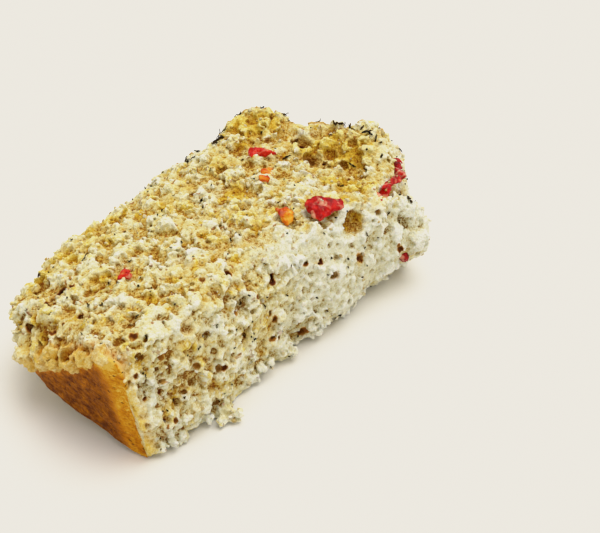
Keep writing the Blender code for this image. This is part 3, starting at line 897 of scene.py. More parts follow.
# ---------------------------------------------------------------- the herbs
def flake_mesh(centres, normals, along, lengths, widths, thick, curls, seed):
    """Thin curled leaf bits as closed strips, all in one mesh."""
    rng = np.random.default_rng(seed)
    rows = 7
    t = np.linspace(-1, 1, rows)
    verts, faces = [], []
    n = normals / np.linalg.norm(normals, axis=1)[:, None]
    u = along - n * np.sum(along * n, axis=1)[:, None]
    u /= np.maximum(np.linalg.norm(u, axis=1), 1e-6)[:, None]
    v = np.cross(n, u)
    for k in range(len(centres)):
        profile = np.maximum(0.10, (1 - np.abs(t) ** rng.uniform(1.6, 3.2)) ** 0.7) * (1 + 0.22 * rng.standard_normal(rows))
        side = 0.14 * widths[k] * np.cumsum(rng.standard_normal(rows))
        lift = curls[k] * (t ** 2) + 0.10 * rng.standard_normal(rows)
        start = len(verts)
        for r in range(rows):
            mid = centres[k] + u[k] * (t[r] * lengths[k] / 2) + v[k] * side[r] + n[k] * (lift[r] + thick[k] * 0.4)
            w = widths[k] / 2 * profile[r]
            fold = 0.35 * w
            verts += [mid - v[k] * w + n[k] * fold, mid + n[k] * thick[k] / 2,
                      mid + v[k] * w + n[k] * fold, mid - n[k] * thick[k] / 2]
        for r in range(rows - 1):
            for c in range(4):
                a, b = start + r * 4 + c, start + r * 4 + (c + 1) % 4
                faces.append((a, b, b + 4, a + 4))
        faces.append((start + 3, start + 2, start + 1, start))
        e = start + (rows - 1) * 4
        faces.append((e, e + 1, e + 2, e + 3))
    return np.array(verts), np.array(faces)


# needles and leaf bits of the photo: x, y, angle in the picture (degrees,
# anticlockwise from the right), length and width in mm
HERBS = (
    (85, 258, 30, 2.6, 0.55), (36, 273, 35, 1.7, 0.6), (201, 201, 90, 1.8, 0.6), (211, 170, 30, 1.2, 0.5),
    (287, 158, 20, 2.4, 0.6), (353, 164, -25, 2.4, 0.5), (366, 171, -40, 1.6, 0.6), (351, 129, 90, 2.4, 0.5),
    (345, 119, 0, 1.8, 0.5), (357, 121, 95, 2.6, 0.45), (351, 120, 20, 2.2, 0.6), (367, 132, 20, 2.6, 1.3),
    (375, 138, 80, 2.2, 0.5), (331, 136, 45, 1.4, 0.6), (287, 110, 0, 1.4, 0.6), (367, 149, 60, 0.8, 0.5),
    (381, 156, 80, 1.4, 0.5), (184, 157, 80, 2.4, 0.6), (187, 160, 10, 2.4, 0.7), (193, 158, 30, 1.8, 0.5),
    (216, 135, 40, 2.6, 0.9), (220, 132, 70, 2.4, 0.8), (213, 139, 60, 2.6, 0.9), (222, 137, 20, 2.0, 0.7),
    (218, 141, 100, 1.8, 0.7), (212, 132, 30, 2.0, 0.6), (225, 130, 30, 2.2, 0.7), (197, 152, 10, 1.6, 0.5),
    (408, 198, -50, 1.2, 0.7), (411, 202, -40, 0.9, 0.6), (366, 235, -50, 1.5, 0.7), (388, 213, 60, 1.0, 0.5),
    (240, 303, 60, 0.9, 0.5), (243, 297, 20, 0.8, 0.5), (264, 306, -50, 1.4, 0.45), (108, 284, 90, 0.9, 0.4),
    (144, 376, 90, 0.9, 0.5), (118, 283, 60, 0.7, 0.4), (89, 306, 30, 0.8, 0.5), (101, 305, 60, 0.9, 0.6),
    (137, 317, 40, 1.2, 0.4), (199, 348, 60, 1.0, 0.5), (148, 336, 80, 0.9, 0.5), (216, 326, 60, 0.9, 0.5),
    (231, 240, 60, 1.0, 0.4), (181, 243, 70, 0.8, 0.4), (164, 211, 60, 0.9, 0.5), (242, 160, 45, 1.0, 0.4),
    (262, 133, 60, 0.9, 0.5), (341, 186, 60, 1.2, 0.6), (399, 222, 70, 0.7, 0.4), (340, 315, 60, 1.2, 0.7),
    (130, 262, 0, 0.8, 0.4), (71, 240, 30, 0.8, 0.4), (336, 124, 60, 1.2, 0.5), (341, 117, 120, 1.6, 0.5),
    (361, 127, 60, 1.4, 0.6), (371, 134, 120, 1.4, 0.6), (380, 143, 45, 1.2, 0.5), (334, 318, 30, 1.0, 0.6),
)


def make_herbs():
    pixels = [(x, y) for x, y, *_ in HERBS]
    p, n, met = land_pixels(pixels)
    # a flake whose sight line just misses sits on the nearest surface behind it
    for k in np.nonzero(~met)[0]:
        px, py = pixels[k]
        for pull in (2, 4, 6, 9, 12):
            tx, ty = px + (235 - px) * pull / 100.0, py + pull
            q, m, ok = land_pixels([(tx, ty)])
            if ok[0]:
                p[k], n[k], met[k] = q[0], m[0], True
                break
    rng = np.random.default_rng(71)
    angle = np.radians([row[2] for row in HERBS])
    along = np.outer(np.cos(angle), RIGHT) + np.outer(np.sin(angle), UP)
    length = np.array([row[3] for row in HERBS])
    width = np.array([row[4] for row in HERBS])
    keep = met
    count = keep.sum()
    verts, faces = flake_mesh(p[keep] + n[keep] * 0.10, n[keep] + 0.15 * rng.standard_normal((count, 3)), along[keep],
                              length[keep], width[keep], np.full(count, 0.20), rng.uniform(-0.15, 0.35, count), 72)
    parts = [(verts, faces)]

    # small specks everywhere
    q, m, rng = land_scatter(520, 73, lambda a, b, r: r.random(len(a)) < np.where(b[:, 1] < -0.4, 0.55, 0.42))
    parts.append(flake_mesh(q + m * 0.05, m, rng.standard_normal(q.shape), rng.uniform(0.30, 0.80, len(q)),
                            rng.uniform(0.25, 0.50, len(q)), np.full(len(q), 0.16), rng.uniform(0, 0.15, len(q)), 74))
    # the loaf's top crust is thick with them
    def on_top_crust(a, b, r):
        back = np.array([BREAD_BVH.ray_cast(Vector(p + 0.9 * q), (CAM_POS - Vector(p)).normalized())[0] is not None
                         for p, q in zip(a, b)])
        return (sample(FIELDS["outer"], a) > 0.30 + 0.35 * r.random(len(a))) & (back | (r.random(len(a)) < 0.10))
    q, m, rng = land_scatter(5200, 75, on_top_crust)
    note(f"flakes on the top crust: {len(q)}")
    big = rng.random(len(q)) < 0.35
    parts.append(flake_mesh(q + m * rng.uniform(0.05, 0.35, len(q))[:, None], m + 0.25 * rng.standard_normal(q.shape),
                            rng.standard_normal(q.shape), rng.uniform(1.0, 2.7, len(q)),
                            np.where(big, rng.uniform(0.8, 1.6, len(q)), rng.uniform(0.35, 0.7, len(q))),
                            np.full(len(q), 0.22), rng.uniform(-0.1, 0.5, len(q)), 76))
    all_v, all_f, start = [], [], 0
    for v, f in parts:
        all_v.append(v)
        all_f.append(f + start)
        start += len(v)
    obj = mesh_object("herb_flakes", np.concatenate(all_v), np.concatenate(all_f))
    note(f"herb_flakes: {triangles_in(obj)} triangles")
    return obj


# ---------------------------------------------------------------- the tomato
def blob(name, lobes, h, seed, wrinkle=0.16, flat=0.62, reach=0.5):
    """A moist wrinkled bit: flattened lobes run together, with ridges pressed in."""
    centres = np.array([q for q, n, r in lobes])
    normals = np.array([n for q, n, r in lobes])
    radii = np.array([r for q, n, r in lobes])
    gap = np.linalg.norm(centres[:, None] - centres[None], axis=2)
    near = np.exp(-(gap / 2.2) ** 2)
    normals = near @ normals
    normals /= np.linalg.norm(normals, axis=1)[:, None]
    pairs = [(a, b) for a in range(len(radii)) for b in range(a) if 0.6 < gap[a, b] < 2.6]
    centres = np.concatenate([centres] + [(centres[a] + centres[b])[None] / 2 for a, b in pairs])
    normals = np.concatenate([normals] + [(normals[a] + normals[b])[None] / 2 for a, b in pairs])
    normals /= np.linalg.norm(normals, axis=1)[:, None]
    radii = np.concatenate([radii * 0.92] + [[(radii[a] + radii[b]) * 0.42] for a, b in pairs])
    low = (centres - radii[:, None]).min(0) - 0.9
    high = (centres + radii[:, None]).max(0) + 0.9
    n = np.ceil((high - low) / h).astype(int) + 1
    g = np.stack(np.meshgrid(*[low[k] + h * np.arange(n[k]) for k in range(3)], indexing="ij"), -1).reshape(-1, 3)
    bent = g + 0.35 * np.stack([point_noise(g, 1.5, seed + k) for k in range(3)], 1)
    total = np.zeros(len(g))
    sharp = 3.2
    for c, m, r in zip(centres, normals, radii):
        q = bent - c
        up = q @ m
        side = np.sum(q * q, axis=1) - up * up
        f = r - np.sqrt(np.maximum(side + (up / flat) ** 2, 1e-9))
        total += np.exp(np.clip(sharp * f, -60, 30))
    f = np.log(np.maximum(total, 1e-26)) / sharp
    ridge = 1 - np.abs(point_noise(bent, 1.15, seed + 5)) * 2.0
    f = f + wrinkle * ridge + 0.5 * wrinkle * (1 - np.abs(point_noise(bent, 0.62, seed + 6)) * 2.0) - wrinkle * 0.9
    d = (-f).reshape(tuple(n)).astype(F32)
    verts, quads = surface_net(d, low, h)
    verts, quads = drop_islands(verts, quads, 120)
    obj = mesh_object(name, verts, quads)
    reduce_to(obj, 9000)
    co = verts_of(obj)
    bent = co + 0.35 * np.stack([point_noise(co, 1.5, seed + k) for k in range(3)], 1)
    set_attribute(obj, "crease", np.abs(point_noise(bent, 1.15, seed + 5)) * 2.0)
    note(f"{name}: {triangles_in(obj)} triangles")
    return obj, co


NODE_BVH = {name: tree_of(*node_arrays(name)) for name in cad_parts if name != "bread"}


def lobes_at(rows, node=None, sink=0.30):
    """Lobes by pixel: on their own solid where the sight line meets it, else on the crumb."""
    out = []
    for px, py, r in rows:
        ray = pixel_ray(px, py)
        place = normal = None
        if node is not None:
            place, normal, _, _ = NODE_BVH[node].ray_cast(CAM_POS, ray)
        if place is None:
            p, n, met = land_pixels([(px, py)])
            if not met[0]:
                continue
            place, normal = Vector(p[0]), Vector(n[0])
        out.append((np.array(place - normal.normalized() * (sink * r)), np.array(normal.normalized()), r))
    return out


TOMATO = {
    "tomato_ridge": (((305, 205, 1.0), (309, 204, 1.3), (315, 202, 1.6), (321, 204, 1.5), (327, 204, 1.6),
                      (333, 203, 1.6), (338, 205, 1.3), (314, 208, 1.4), (319, 211, 1.4), (325, 210, 1.3),
                      (319, 216, 1.1)), 0.55),
    "tomato_side": (((397, 160, 0.9), (398, 166, 1.2), (400, 171, 1.5), (402, 174, 1.4), (398, 178, 1.3),
                     (394, 181, 0.8), (389, 184, 0.8), (385, 188, 0.9), (381, 192, 1.1), (379, 195, 1.2),
                     (384, 196, 1.0), (381, 200, 0.9)), 0.60),
    "tomato_top": (((251, 150, 0.7), (254, 152, 0.85), (258, 153, 0.75), (262, 154, 0.65), (266, 154, 0.65), (270, 153, 0.8),
                    (274, 154, 0.8), (252, 154, 0.7)), 0.75),
    "tomato_orange": (((279, 210, 1.1), (283, 209, 1.3), (287, 212, 1.3), (286, 217, 1.1), (287, 222, 0.9)), 0.60),
}
EXTRA_TOMATO = {
    "tomato_small_left": (((121, 277, 0.8), (124, 275, 1.1), (127, 275, 1.2), (130, 277, 0.9)), 0.7),
    "tomato_small_right": (((403, 255, 0.9), (405, 259, 1.1)), 0.8),
    "tomato_crumb_orange": (((262, 177, 1.0), (266, 173, 1.6), (265, 180, 1.0), (269, 170, 1.0)), 0.5),
}


def make_tomatoes():
    out = {}
    h = 0.12
    for k, (name, (rows, flat)) in enumerate(TOMATO.items()):
        out[name], co = blob(name + "_bit", lobes_at(rows, name), h, 200 + 10 * k, flat=flat)
    for k, (name, (rows, flat)) in enumerate(EXTRA_TOMATO.items()):
        out[name], co = blob(name, lobes_at(rows, sink=-0.10), h, 300 + 10 * k, flat=flat)
    return out


# ---------------------------------------------------------------- the grains
def ico():
    g = (1 + 5 ** 0.5) / 2
    v = np.array([(-1, g, 0), (1, g, 0), (-1, -g, 0), (1, -g, 0), (0, -1, g), (0, 1, g), (0, -1, -g), (0, 1, -g),
                  (g, 0, -1), (g, 0, 1), (-g, 0, -1), (-g, 0, 1)], float)
    f = [(0, 11, 5), (0, 5, 1), (0, 1, 7), (0, 7, 10), (0, 10, 11), (1, 5, 9), (5, 11, 4), (11, 10, 2), (10, 7, 6),
         (7, 1, 8), (3, 9, 4), (3, 4, 2), (3, 2, 6), (3, 6, 8), (3, 8, 9), (4, 9, 5), (2, 4, 11), (6, 2, 10), (8, 6, 7), (9, 8, 1)]
    v = list(v)
    cache, out = {}, []

    def half(a, b):
        key = (min(a, b), max(a, b))
        if key not in cache:
            cache[key] = len(v)
            v.append((np.array(v[a]) + np.array(v[b])) / 2)
        return cache[key]
    for a, b, c in f:
        ab, bc, ca = half(a, b), half(b, c), half(c, a)
        out += [(a, ab, ca), (b, bc, ab), (c, ca, bc), (ab, bc, ca)]
    v = np.array(v)
    return v / np.linalg.norm(v, axis=1)[:, None], np.array(out)


def make_grains():
    """Loose grains of crumb that lie on the torn surfaces."""
    def where(p, n, r):
        return (r.random(len(p)) < 0.8) & (sample(FIELDS["outer"], p) < 0.3)
    p, n, rng = land_scatter(1100, 81, where)
    for name, pixels in (("tomato_ridge", ((321, 200), (323, 201))),
                         ("tomato_side", ((389, 182), (386, 190), (397, 176)))):
        obj = tomatoes[name]
        tree = tree_of(verts_of(obj), [tuple(q.vertices)[:3] for q in obj.data.polygons])
        for px, py in pixels:
            place, normal, _, _ = tree.ray_cast(CAM_POS, pixel_ray(px, py))
            if place is not None:
                p = np.concatenate([p, [tuple(place)]])
                n = np.concatenate([n, [tuple(normal)]])
    base, tri = ico()
    k = len(p)
    radius = 0.18 + 0.34 * rng.random(k) ** 2.2
    stretch = rng.uniform(0.65, 1.35, (k, 3))
    turn = rng.standard_normal((k, 3, 3))
    turn = np.linalg.qr(turn)[0]
    lump = 1 + 0.28 * rng.standard_normal((k, len(base)))
    shape = base[None] * np.clip(lump, 0.5, 1.6)[..., None] * stretch[:, None] * radius[:, None, None]
    verts = np.einsum("kij,kvj->kvi", turn, shape) + (p + n * (radius * 0.25)[:, None])[:, None]
    flipped = np.linalg.det(turn) < 0
    faces = np.repeat(tri[None], k, 0)
    faces[flipped] = faces[flipped][..., ::-1]
    faces = faces + (np.arange(k) * len(base))[:, None, None]
    obj = mesh_object("loose_grains", verts.reshape(-1, 3), faces.reshape(-1, 3))
    set_attribute(obj, "pick", np.repeat(rng.random(k), len(base)))
    set_attribute(obj, "torn", np.repeat(sample(FIELDS["torn"], p), len(base)))
    note(f"loose_grains: {triangles_in(obj)} triangles")
    return obj


herbs = make_herbs()
tomatoes = make_tomatoes()
grains = make_grains()


# ---------------------------------------------------------------- materials
def node_tree(name):
    mat = bpy.data.materials.new(name)
    mat.use_nodes = True
    return mat, mat.node_tree.nodes["Principled BSDF"]


class Nodes:
    """Short names for the few kinds of node used here."""

    def __init__(self, mat):
        self.nodes, self.links = mat.node_tree.nodes, mat.node_tree.links

    def put(self, socket, value):
        if isinstance(value, bpy.types.NodeSocket):
            self.links.new(value, socket)
        elif isinstance(value, tuple) and len(value) == 3:
            socket.default_value = (*value, 1.0) if len(socket.default_value) == 4 else value
        else:
            socket.default_value = value

    def attribute(self, name, out="Fac"):
        n = self.nodes.new("ShaderNodeAttribute")
        n.attribute_name = name
        return n.outputs[out]

    def math(self, op, a, b=0.0, clamp=False):
        n = self.nodes.new("ShaderNodeMath")
        n.operation = op
        n.use_clamp = clamp
        self.put(n.inputs[0], a)
        self.put(n.inputs[1], b)
        return n.outputs[0]

    def add(self, *values, clamp=False):
        out = values[0]
        for k, v in enumerate(values[1:]):
            out = self.math("ADD", out, v, clamp and k == len(values) - 2)
        return out

    def times(self, a, b, clamp=False):
        return self.math("MULTIPLY", a, b, clamp)

    def map(self, value, a, b, c=0.0, d=1.0, smooth=False):
        n = self.nodes.new("ShaderNodeMapRange")
        n.interpolation_type = "SMOOTHSTEP" if smooth else "LINEAR"
        for socket, v in zip(n.inputs[:5], (value, a, b, c, d)):
            self.put(socket, v)
        return n.outputs[0]

    def place(self, source=None, offset=(0, 0, 0), stretch=(1, 1, 1)):
        if source is None:
            source = self.nodes.new("ShaderNodeTexCoord").outputs["Object"]
        m = self.nodes.new("ShaderNodeMapping")
        self.links.new(source, m.inputs["Vector"])
        m.inputs["Location"].default_value = offset
        m.inputs["Scale"].default_value = stretch
        return m.outputs[0]

    def noise(self, scale, detail=2.0, rough=0.5, source=None, offset=(0, 0, 0), stretch=(1, 1, 1), warp=0.0):
        n = self.nodes.new("ShaderNodeTexNoise")
        self.links.new(self.place(source, offset, stretch), n.inputs["Vector"])
        n.inputs["Scale"].default_value = scale
        n.inputs["Detail"].default_value = detail
        n.inputs["Roughness"].default_value = rough
        n.inputs["Distortion"].default_value = warp
        return n.outputs["Fac"]

    def cells(self, scale, randomness=1.0):
        n = self.nodes.new("ShaderNodeTexVoronoi")
        self.links.new(self.place(), n.inputs["Vector"])
        n.inputs["Scale"].default_value = scale
        n.inputs["Randomness"].default_value = randomness
        return n.outputs["Distance"]

    def ramp(self, value, stops):
        n = self.nodes.new("ShaderNodeValToRGB")
        self.put(n.inputs[0], value)
        e = n.color_ramp.elements
        while len(e) > 1:
            e.remove(e[-1])
        for k, (at, colour) in enumerate(stops):
            item = e[0] if k == 0 else e.new(at)
            item.position = at
            item.color = (*srgb(*colour), 1.0)
        return n.outputs["Color"]

    def mix(self, amount, a, b, kind="MIX"):
        n = self.nodes.new("ShaderNodeMix")
        n.data_type = "RGBA"
        n.blend_type = kind
        self.put(n.inputs[0], amount)
        self.put(n.inputs[6], a)
        self.put(n.inputs[7], b)
        return n.outputs[2]

    def bump(self, height, distance, strength=1.0, normal=None):
        n = self.nodes.new("ShaderNodeBump")
        n.inputs["Distance"].default_value = distance
        n.inputs["Strength"].default_value = strength
        self.put(n.inputs["Height"], height)
        if normal is not None:
            self.links.new(normal, n.inputs["Normal"])
        return n.outputs["Normal"]


def srgb(r, g, b):
    return tuple(((c / 255) / 12.92 if c / 255 <= 0.04045 else ((c / 255 + 0.055) / 1.055) ** 2.4) for c in (r, g, b))


# Colours of the crumb by tone: the middle is its own colour, the dark low end is painted shade for the crevices, and
# the pale top end is partly painted light on the tips
CREAM = ((0.00, (142, 90, 18)), (0.06, (180, 133, 44)), (0.20, (204, 176, 88)), (0.38, (217, 202, 136)),
         (0.70, (226, 218, 168)), (0.92, (236, 231, 200)), (1.00, (242, 239, 218)))
GOLDEN = ((0.00, (124, 66, 6)), (0.08, (160, 105, 14)), (0.28, (190, 146, 34)), (0.52, (208, 174, 58)),
          (0.80, (223, 200, 98)), (1.00, (237, 223, 150)))
WHITE = ((0.00, (124, 82, 34)), (0.05, (172, 142, 80)), (0.18, (204, 191, 140)), (0.40, (220, 215, 181)),
         (0.75, (230, 228, 206)), (1.00, (240, 239, 226)))


def crumb_material():
    mat, shader = node_tree("bread_crumb")
    n = Nodes(mat)
    gold, pale, hole = n.attribute("gold"), n.attribute("pale"), n.attribute("hole")
    torn, calm, crust = n.attribute("torn"), n.attribute("calm"), n.attribute("crust")
    across, below = n.attribute("across"), n.attribute("below")
    clump, outer = n.attribute("clump"), n.attribute("outer")
    grain = n.noise(1300, 3, 0.65)
    patch = n.noise(300, 4, 0.65, offset=(0.3, 0.1, 0), warp=0.5)
    broad = n.noise(80, 2, 0.5, offset=(0.1, 0.7, 0))

    # tone: 0 in the deepest crevices, 1 on the tips; through the ramps below it paints shade into the crevices and
    # light onto the tips
    left = n.map(crust, 34.0, 6.0, 0.0, -0.11, smooth=True)
    tone = n.add(n.attribute("tone"), n.map(grain, 0.3, 0.7, -0.18, 0.18), n.map(n.noise(2600, 2, 0.6), 0.3, 0.7, -0.14, 0.14),
                 n.map(patch, 0.3, 0.7, -0.10, 0.10), n.times(clump, 0.10), left, clamp=True)

    # how white and how golden a place is
    white = n.add(n.times(torn, 0.35), n.times(calm, 0.55), n.times(pale, 0.7), n.map(clump, -1, 1, -0.30, 0.30),
                  n.map(broad, 0.35, 0.65, -0.18, 0.18), clamp=True)
    toast = n.add(-0.04, n.map(patch, 0.50, 0.64, 0.0, 0.70), n.map(clump, -0.1, -1.0, 0.0, 0.50),
                  n.map(broad, 0.42, 0.62, -0.1, 0.20), n.times(torn, -0.15), n.times(calm, -0.40), clamp=True)
    spot = n.map(n.noise(400, 3, 0.6, offset=(0.5, 0.3, 0.8), warp=0.4), 0.585, 0.645, 0.0, 1.0, smooth=True)
    spot = n.times(spot, n.map(n.add(torn, calm), 0.0, 2.0, 0.80, 0.18))
    toast = n.add(toast, spot, n.times(gold, 1.1), n.times(pale, -0.8), clamp=True)
    colour = n.mix(white, n.ramp(tone, CREAM), n.ramp(tone, WHITE))
    colour = n.mix(toast, colour, n.ramp(tone, GOLDEN))
    # small brown flecks
    fleck = n.map(n.noise(640, 2, 0.5, offset=(0.9, 0.2, 0.4), warp=0.3), 0.650, 0.695, 0.0, 1.0)
    fleck = n.times(fleck, n.map(n.add(torn, calm), 0.0, 2.0, 0.85, 0.25))
    colour = n.mix(fleck, colour, n.ramp(grain, ((0.35, (116, 58, 8)), (0.65, (178, 112, 30)))))

    # near the base crust the crumb is baked orange, most of all along its upper edge
    side = n.map(n.add(across, n.map(patch, 0.3, 0.7, -0.5, 0.5)), -1.6, 0.6, 0.0, 1.0, smooth=True)
    edge = n.map(n.math("ABSOLUTE", n.add(below, -0.5)), 1.6, 6.5, 1.0, 0.0, smooth=True)
    close = n.map(crust, 5.0, 1.0, 0.0, 1.0, smooth=True)
    baked = n.times(n.times(side, close), n.map(n.add(edge, n.map(patch, 0.35, 0.65, -0.6, 0.6)), 0.0, 1.1, 0.0, 0.90), clamp=True)
    orange = n.ramp(tone, ((0.0, (128, 58, 2)), (0.2, (178, 98, 8)), (0.6, (204, 142, 30)), (1.0, (220, 182, 80))))
    colour = n.mix(baked, colour, orange)
    # and yellow beside the crust's torn rim
    glow = n.times(n.map(n.add(crust, n.map(patch, 0.3, 0.7, -0.9, 0.9), n.map(grain, 0.3, 0.7, -0.4, 0.4)), 2.7, -0.2, 0.0, 0.95),
                   n.map(across, -9.0, -5.0, 0.0, 1.0))
    colour = n.mix(n.times(glow, n.map(torn, 0.2, 0.8, 0.35, 1.0)), colour,
                   n.ramp(tone, ((0.0, (156, 98, 8)), (0.3, (212, 162, 34)), (0.7, (228, 196, 88)), (1.0, (236, 218, 144)))))
    # the loaf's top crust
    skin = n.ramp(tone, ((0.0, (62, 32, 4)), (0.30, (122, 78, 12)), (0.65, (164, 116, 28)), (1.0, (196, 154, 62))))
    colour = n.mix(n.map(outer, 0.25, 0.75, 0.0, 0.90), colour, skin)
    # painted shade: the pores are coloured deep brown towards their cores
    colour = n.mix(n.map(hole, 0.02, 0.30, 0.0, 1.0), colour,
                   n.ramp(n.add(hole, n.map(patch, 0.3, 0.7, -0.15, 0.15)),
                          ((0.15, (200, 156, 78)), (0.42, (164, 108, 36)), (0.70, (116, 60, 18)), (0.95, (76, 30, 10)))))
    n.put(shader.inputs["Base Color"], colour)
    shader.inputs["Roughness"].default_value = 0.85
    shader.inputs["Specular IOR Level"].default_value = 0.12
    shader.inputs["Subsurface Weight"].default_value = 0.10
    shader.inputs["Subsurface Radius"].default_value = (1.0, 0.7, 0.35)
    shader.inputs["Subsurface Scale"].default_value = 0.0004
    height = n.add(n.noise(1500, 3, 0.65), n.times(n.cells(1500), -0.7), n.times(n.noise(3600, 2, 0.5), 0.35))
    n.put(shader.inputs["Normal"], n.bump(height, 0.00040, 0.9))
    return mat


def crust_material():
    mat, shader = node_tree("base_crust_skin")
    n = Nodes(mat)
    flow = n.attribute("flow", "Vector")
    rim, skin, high, below = n.attribute("rim"), n.attribute("under_skin"), n.attribute("high"), n.attribute("below")
    streak = n.noise(0.85, 3, 0.6, flow, stretch=(0.22, 1.0, 1.0), warp=0.6)
    thread = n.noise(2.2, 4, 0.7, flow, stretch=(0.45, 1.0, 1.0), warp=0.5)
    mottle = n.noise(0.75, 5, 0.7, flow, offset=(2, 5, 3), warp=0.8)
    blot = n.noise(0.28, 3, 0.6, flow)
    tone = n.add(0.35, n.map(streak, 0.3, 0.7, -0.08, 0.08), n.map(thread, 0.3, 0.7, -0.13, 0.13),
                 n.map(blot, 0.3, 0.7, -0.14, 0.14), n.map(mottle, 0.3, 0.7, -0.24, 0.24),
                 n.map(high, 0.0, 26.0, -0.10, 0.06), n.map(below, 3.2, 0.4, 0.0, 0.30, smooth=True))
    # partly painted light: the band along the crust's torn rim is lightened where its rounded corner catches the light;
    # partly it is the rim's paler, yellower colour
    band = n.map(n.add(rim, n.map(mottle, 0.3, 0.7, -1.6, 1.6)), 5.6, 1.4, 0.0, 1.0, smooth=True)
    tone = n.add(tone, n.times(band, 0.46), clamp=True)
    colour = n.ramp(tone, ((0.00, (72, 24, 0)), (0.18, (112, 54, 2)), (0.38, (152, 86, 6)), (0.56, (182, 106, 8)),
                           (0.75, (206, 134, 18)), (0.90, (220, 164, 40)), (1.00, (230, 192, 84))))
    # the broken rim of the crust is paler inside, and its upper edge is paler
    inner = n.map(skin, 0.35, 1.0, 0.0, 1.0, smooth=True)
    colour = n.mix(inner, colour, n.ramp(tone, ((0.0, (170, 108, 34)), (1.0, (222, 184, 108)))))
    speck = n.map(n.noise(1.0, 1, 0.4, flow, offset=(7, 3, 1), stretch=(0.7, 1.3, 1.0)), 0.70, 0.73, 0.0, 0.95)
    colour = n.mix(speck, colour, srgb(52, 26, 8))
    n.put(shader.inputs["Base Color"], colour)
    shader.inputs["Roughness"].default_value = 0.5
    shader.inputs["Specular IOR Level"].default_value = 0.045
    shader.inputs["Subsurface Weight"].default_value = 0.05
    shader.inputs["Subsurface Radius"].default_value = (1.0, 0.5, 0.2)
    shader.inputs["Subsurface Scale"].default_value = 0.0005
    height = n.add(n.times(streak, 0.5), n.times(mottle, 0.6), n.times(thread, 0.8), n.times(n.noise(2200, 2, 0.6), 0.3))
    n.put(shader.inputs["Normal"], n.bump(height, 0.0005, 0.8))
    return mat


def herb_material():
    mat, shader = node_tree("dried_herb")
    n = Nodes(mat)
    colour = n.ramp(n.add(n.noise(420, 2, 0.5), n.map(n.noise(2600, 2, 0.6), 0.3, 0.7, -0.12, 0.12)),
                    ((0.30, (22, 16, 8)), (0.46, (38, 28, 12)), (0.58, (62, 44, 20)), (0.72, (96, 72, 34))))
    n.put(shader.inputs["Base Color"], colour)
    shader.inputs["Roughness"].default_value = 0.7
    shader.inputs["Specular IOR Level"].default_value = 0.04
    n.put(shader.inputs["Normal"], n.bump(n.noise(4200, 2, 0.6), 0.00012, 0.8))
    return mat


def tomato_material(name, stops, dust_and_highlight_share):
    mat, shader = node_tree(name)
    n = Nodes(mat)
    crease = n.attribute("crease")
    blot = n.noise(520, 3, 0.6, warp=0.6)
    tone = n.add(0.06, n.times(crease, 0.25), n.map(blot, 0.3, 0.7, -0.15, 0.50), clamp=True)
    colour = n.ramp(tone, stops)
    # pale peach patches: partly crumb dust on the bits, partly painted highlight standing in for their gloss
    dust_and_highlight = n.map(n.noise(520, 1.5, 0.4, offset=(0.2, 0.4, 0.9), warp=0.9), 0.54, 0.70, 0.0, dust_and_highlight_share)
    colour = n.mix(dust_and_highlight, colour, srgb(236, 176, 138))
    n.put(shader.inputs["Base Color"], colour)
    shader.inputs["Roughness"].default_value = 0.22
    shader.inputs["Specular IOR Level"].default_value = 0.16
    shader.inputs["Subsurface Weight"].default_value = 0.15
    shader.inputs["Subsurface Radius"].default_value = (1.0, 0.15, 0.08)
    shader.inputs["Subsurface Scale"].default_value = 0.0005
    n.put(shader.inputs["Normal"], n.bump(n.add(n.noise(1500, 3, 0.6, warp=0.5), n.times(dust_and_highlight, 0.5)), 0.00030, 0.7))
    return mat


def grain_material():
    mat, shader = node_tree("crumb_grain")
    n = Nodes(mat)
    pick = n.add(n.attribute("pick"), n.map(n.noise(900, 2, 0.5), 0.3, 0.7, -0.2, 0.2), clamp=True)
    cream = n.ramp(pick, ((0.0, (176, 128, 50)), (0.25, (192, 160, 88)), (0.55, (204, 186, 130)), (1.0, (216, 206, 168))))
    white = n.ramp(pick, ((0.0, (190, 164, 104)), (0.3, (204, 192, 150)), (0.7, (212, 205, 178)), (1.0, (220, 216, 196))))
    n.put(shader.inputs["Base Color"], n.mix(n.attribute("torn"), cream, white))
    shader.inputs["Roughness"].default_value = 0.8
    shader.inputs["Specular IOR Level"].default_value = 0.35
    shader.inputs["Subsurface Weight"].default_value = 0.2
    shader.inputs["Subsurface Radius"].default_value = (1.0, 0.6, 0.3)
    shader.inputs["Subsurface Scale"].default_value = 0.0006
    n.put(shader.inputs["Normal"], n.bump(n.noise(2400, 3, 0.6), 0.00025, 0.8))
    return mat


RED = ((0.0, (104, 3, 1)), (0.22, (146, 5, 2)), (0.48, (182, 10, 5)), (0.74, (204, 30, 14)), (1.0, (222, 92, 52)))
BRIGHT_RED = ((0.0, (164, 12, 2)), (0.25, (192, 22, 8)), (0.50, (214, 44, 18)), (0.78, (226, 86, 42)), (1.0, (234, 150, 96)))
DARK_RED = ((0.0, (76, 2, 4)), (0.30, (116, 5, 6)), (0.55, (156, 12, 10)), (0.80, (184, 34, 24)), (1.0, (206, 84, 60)))
ORANGE = ((0.0, (180, 36, 4)), (0.22, (204, 78, 6)), (0.45, (222, 128, 14)), (0.75, (229, 164, 40)), (1.0, (234, 192, 92)))


def dress(obj, mat, slot, *nodes):
    obj.data.materials.clear()
    obj.data.materials.append(mat)
    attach(obj, "root")
    if nodes:
        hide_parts(*nodes)


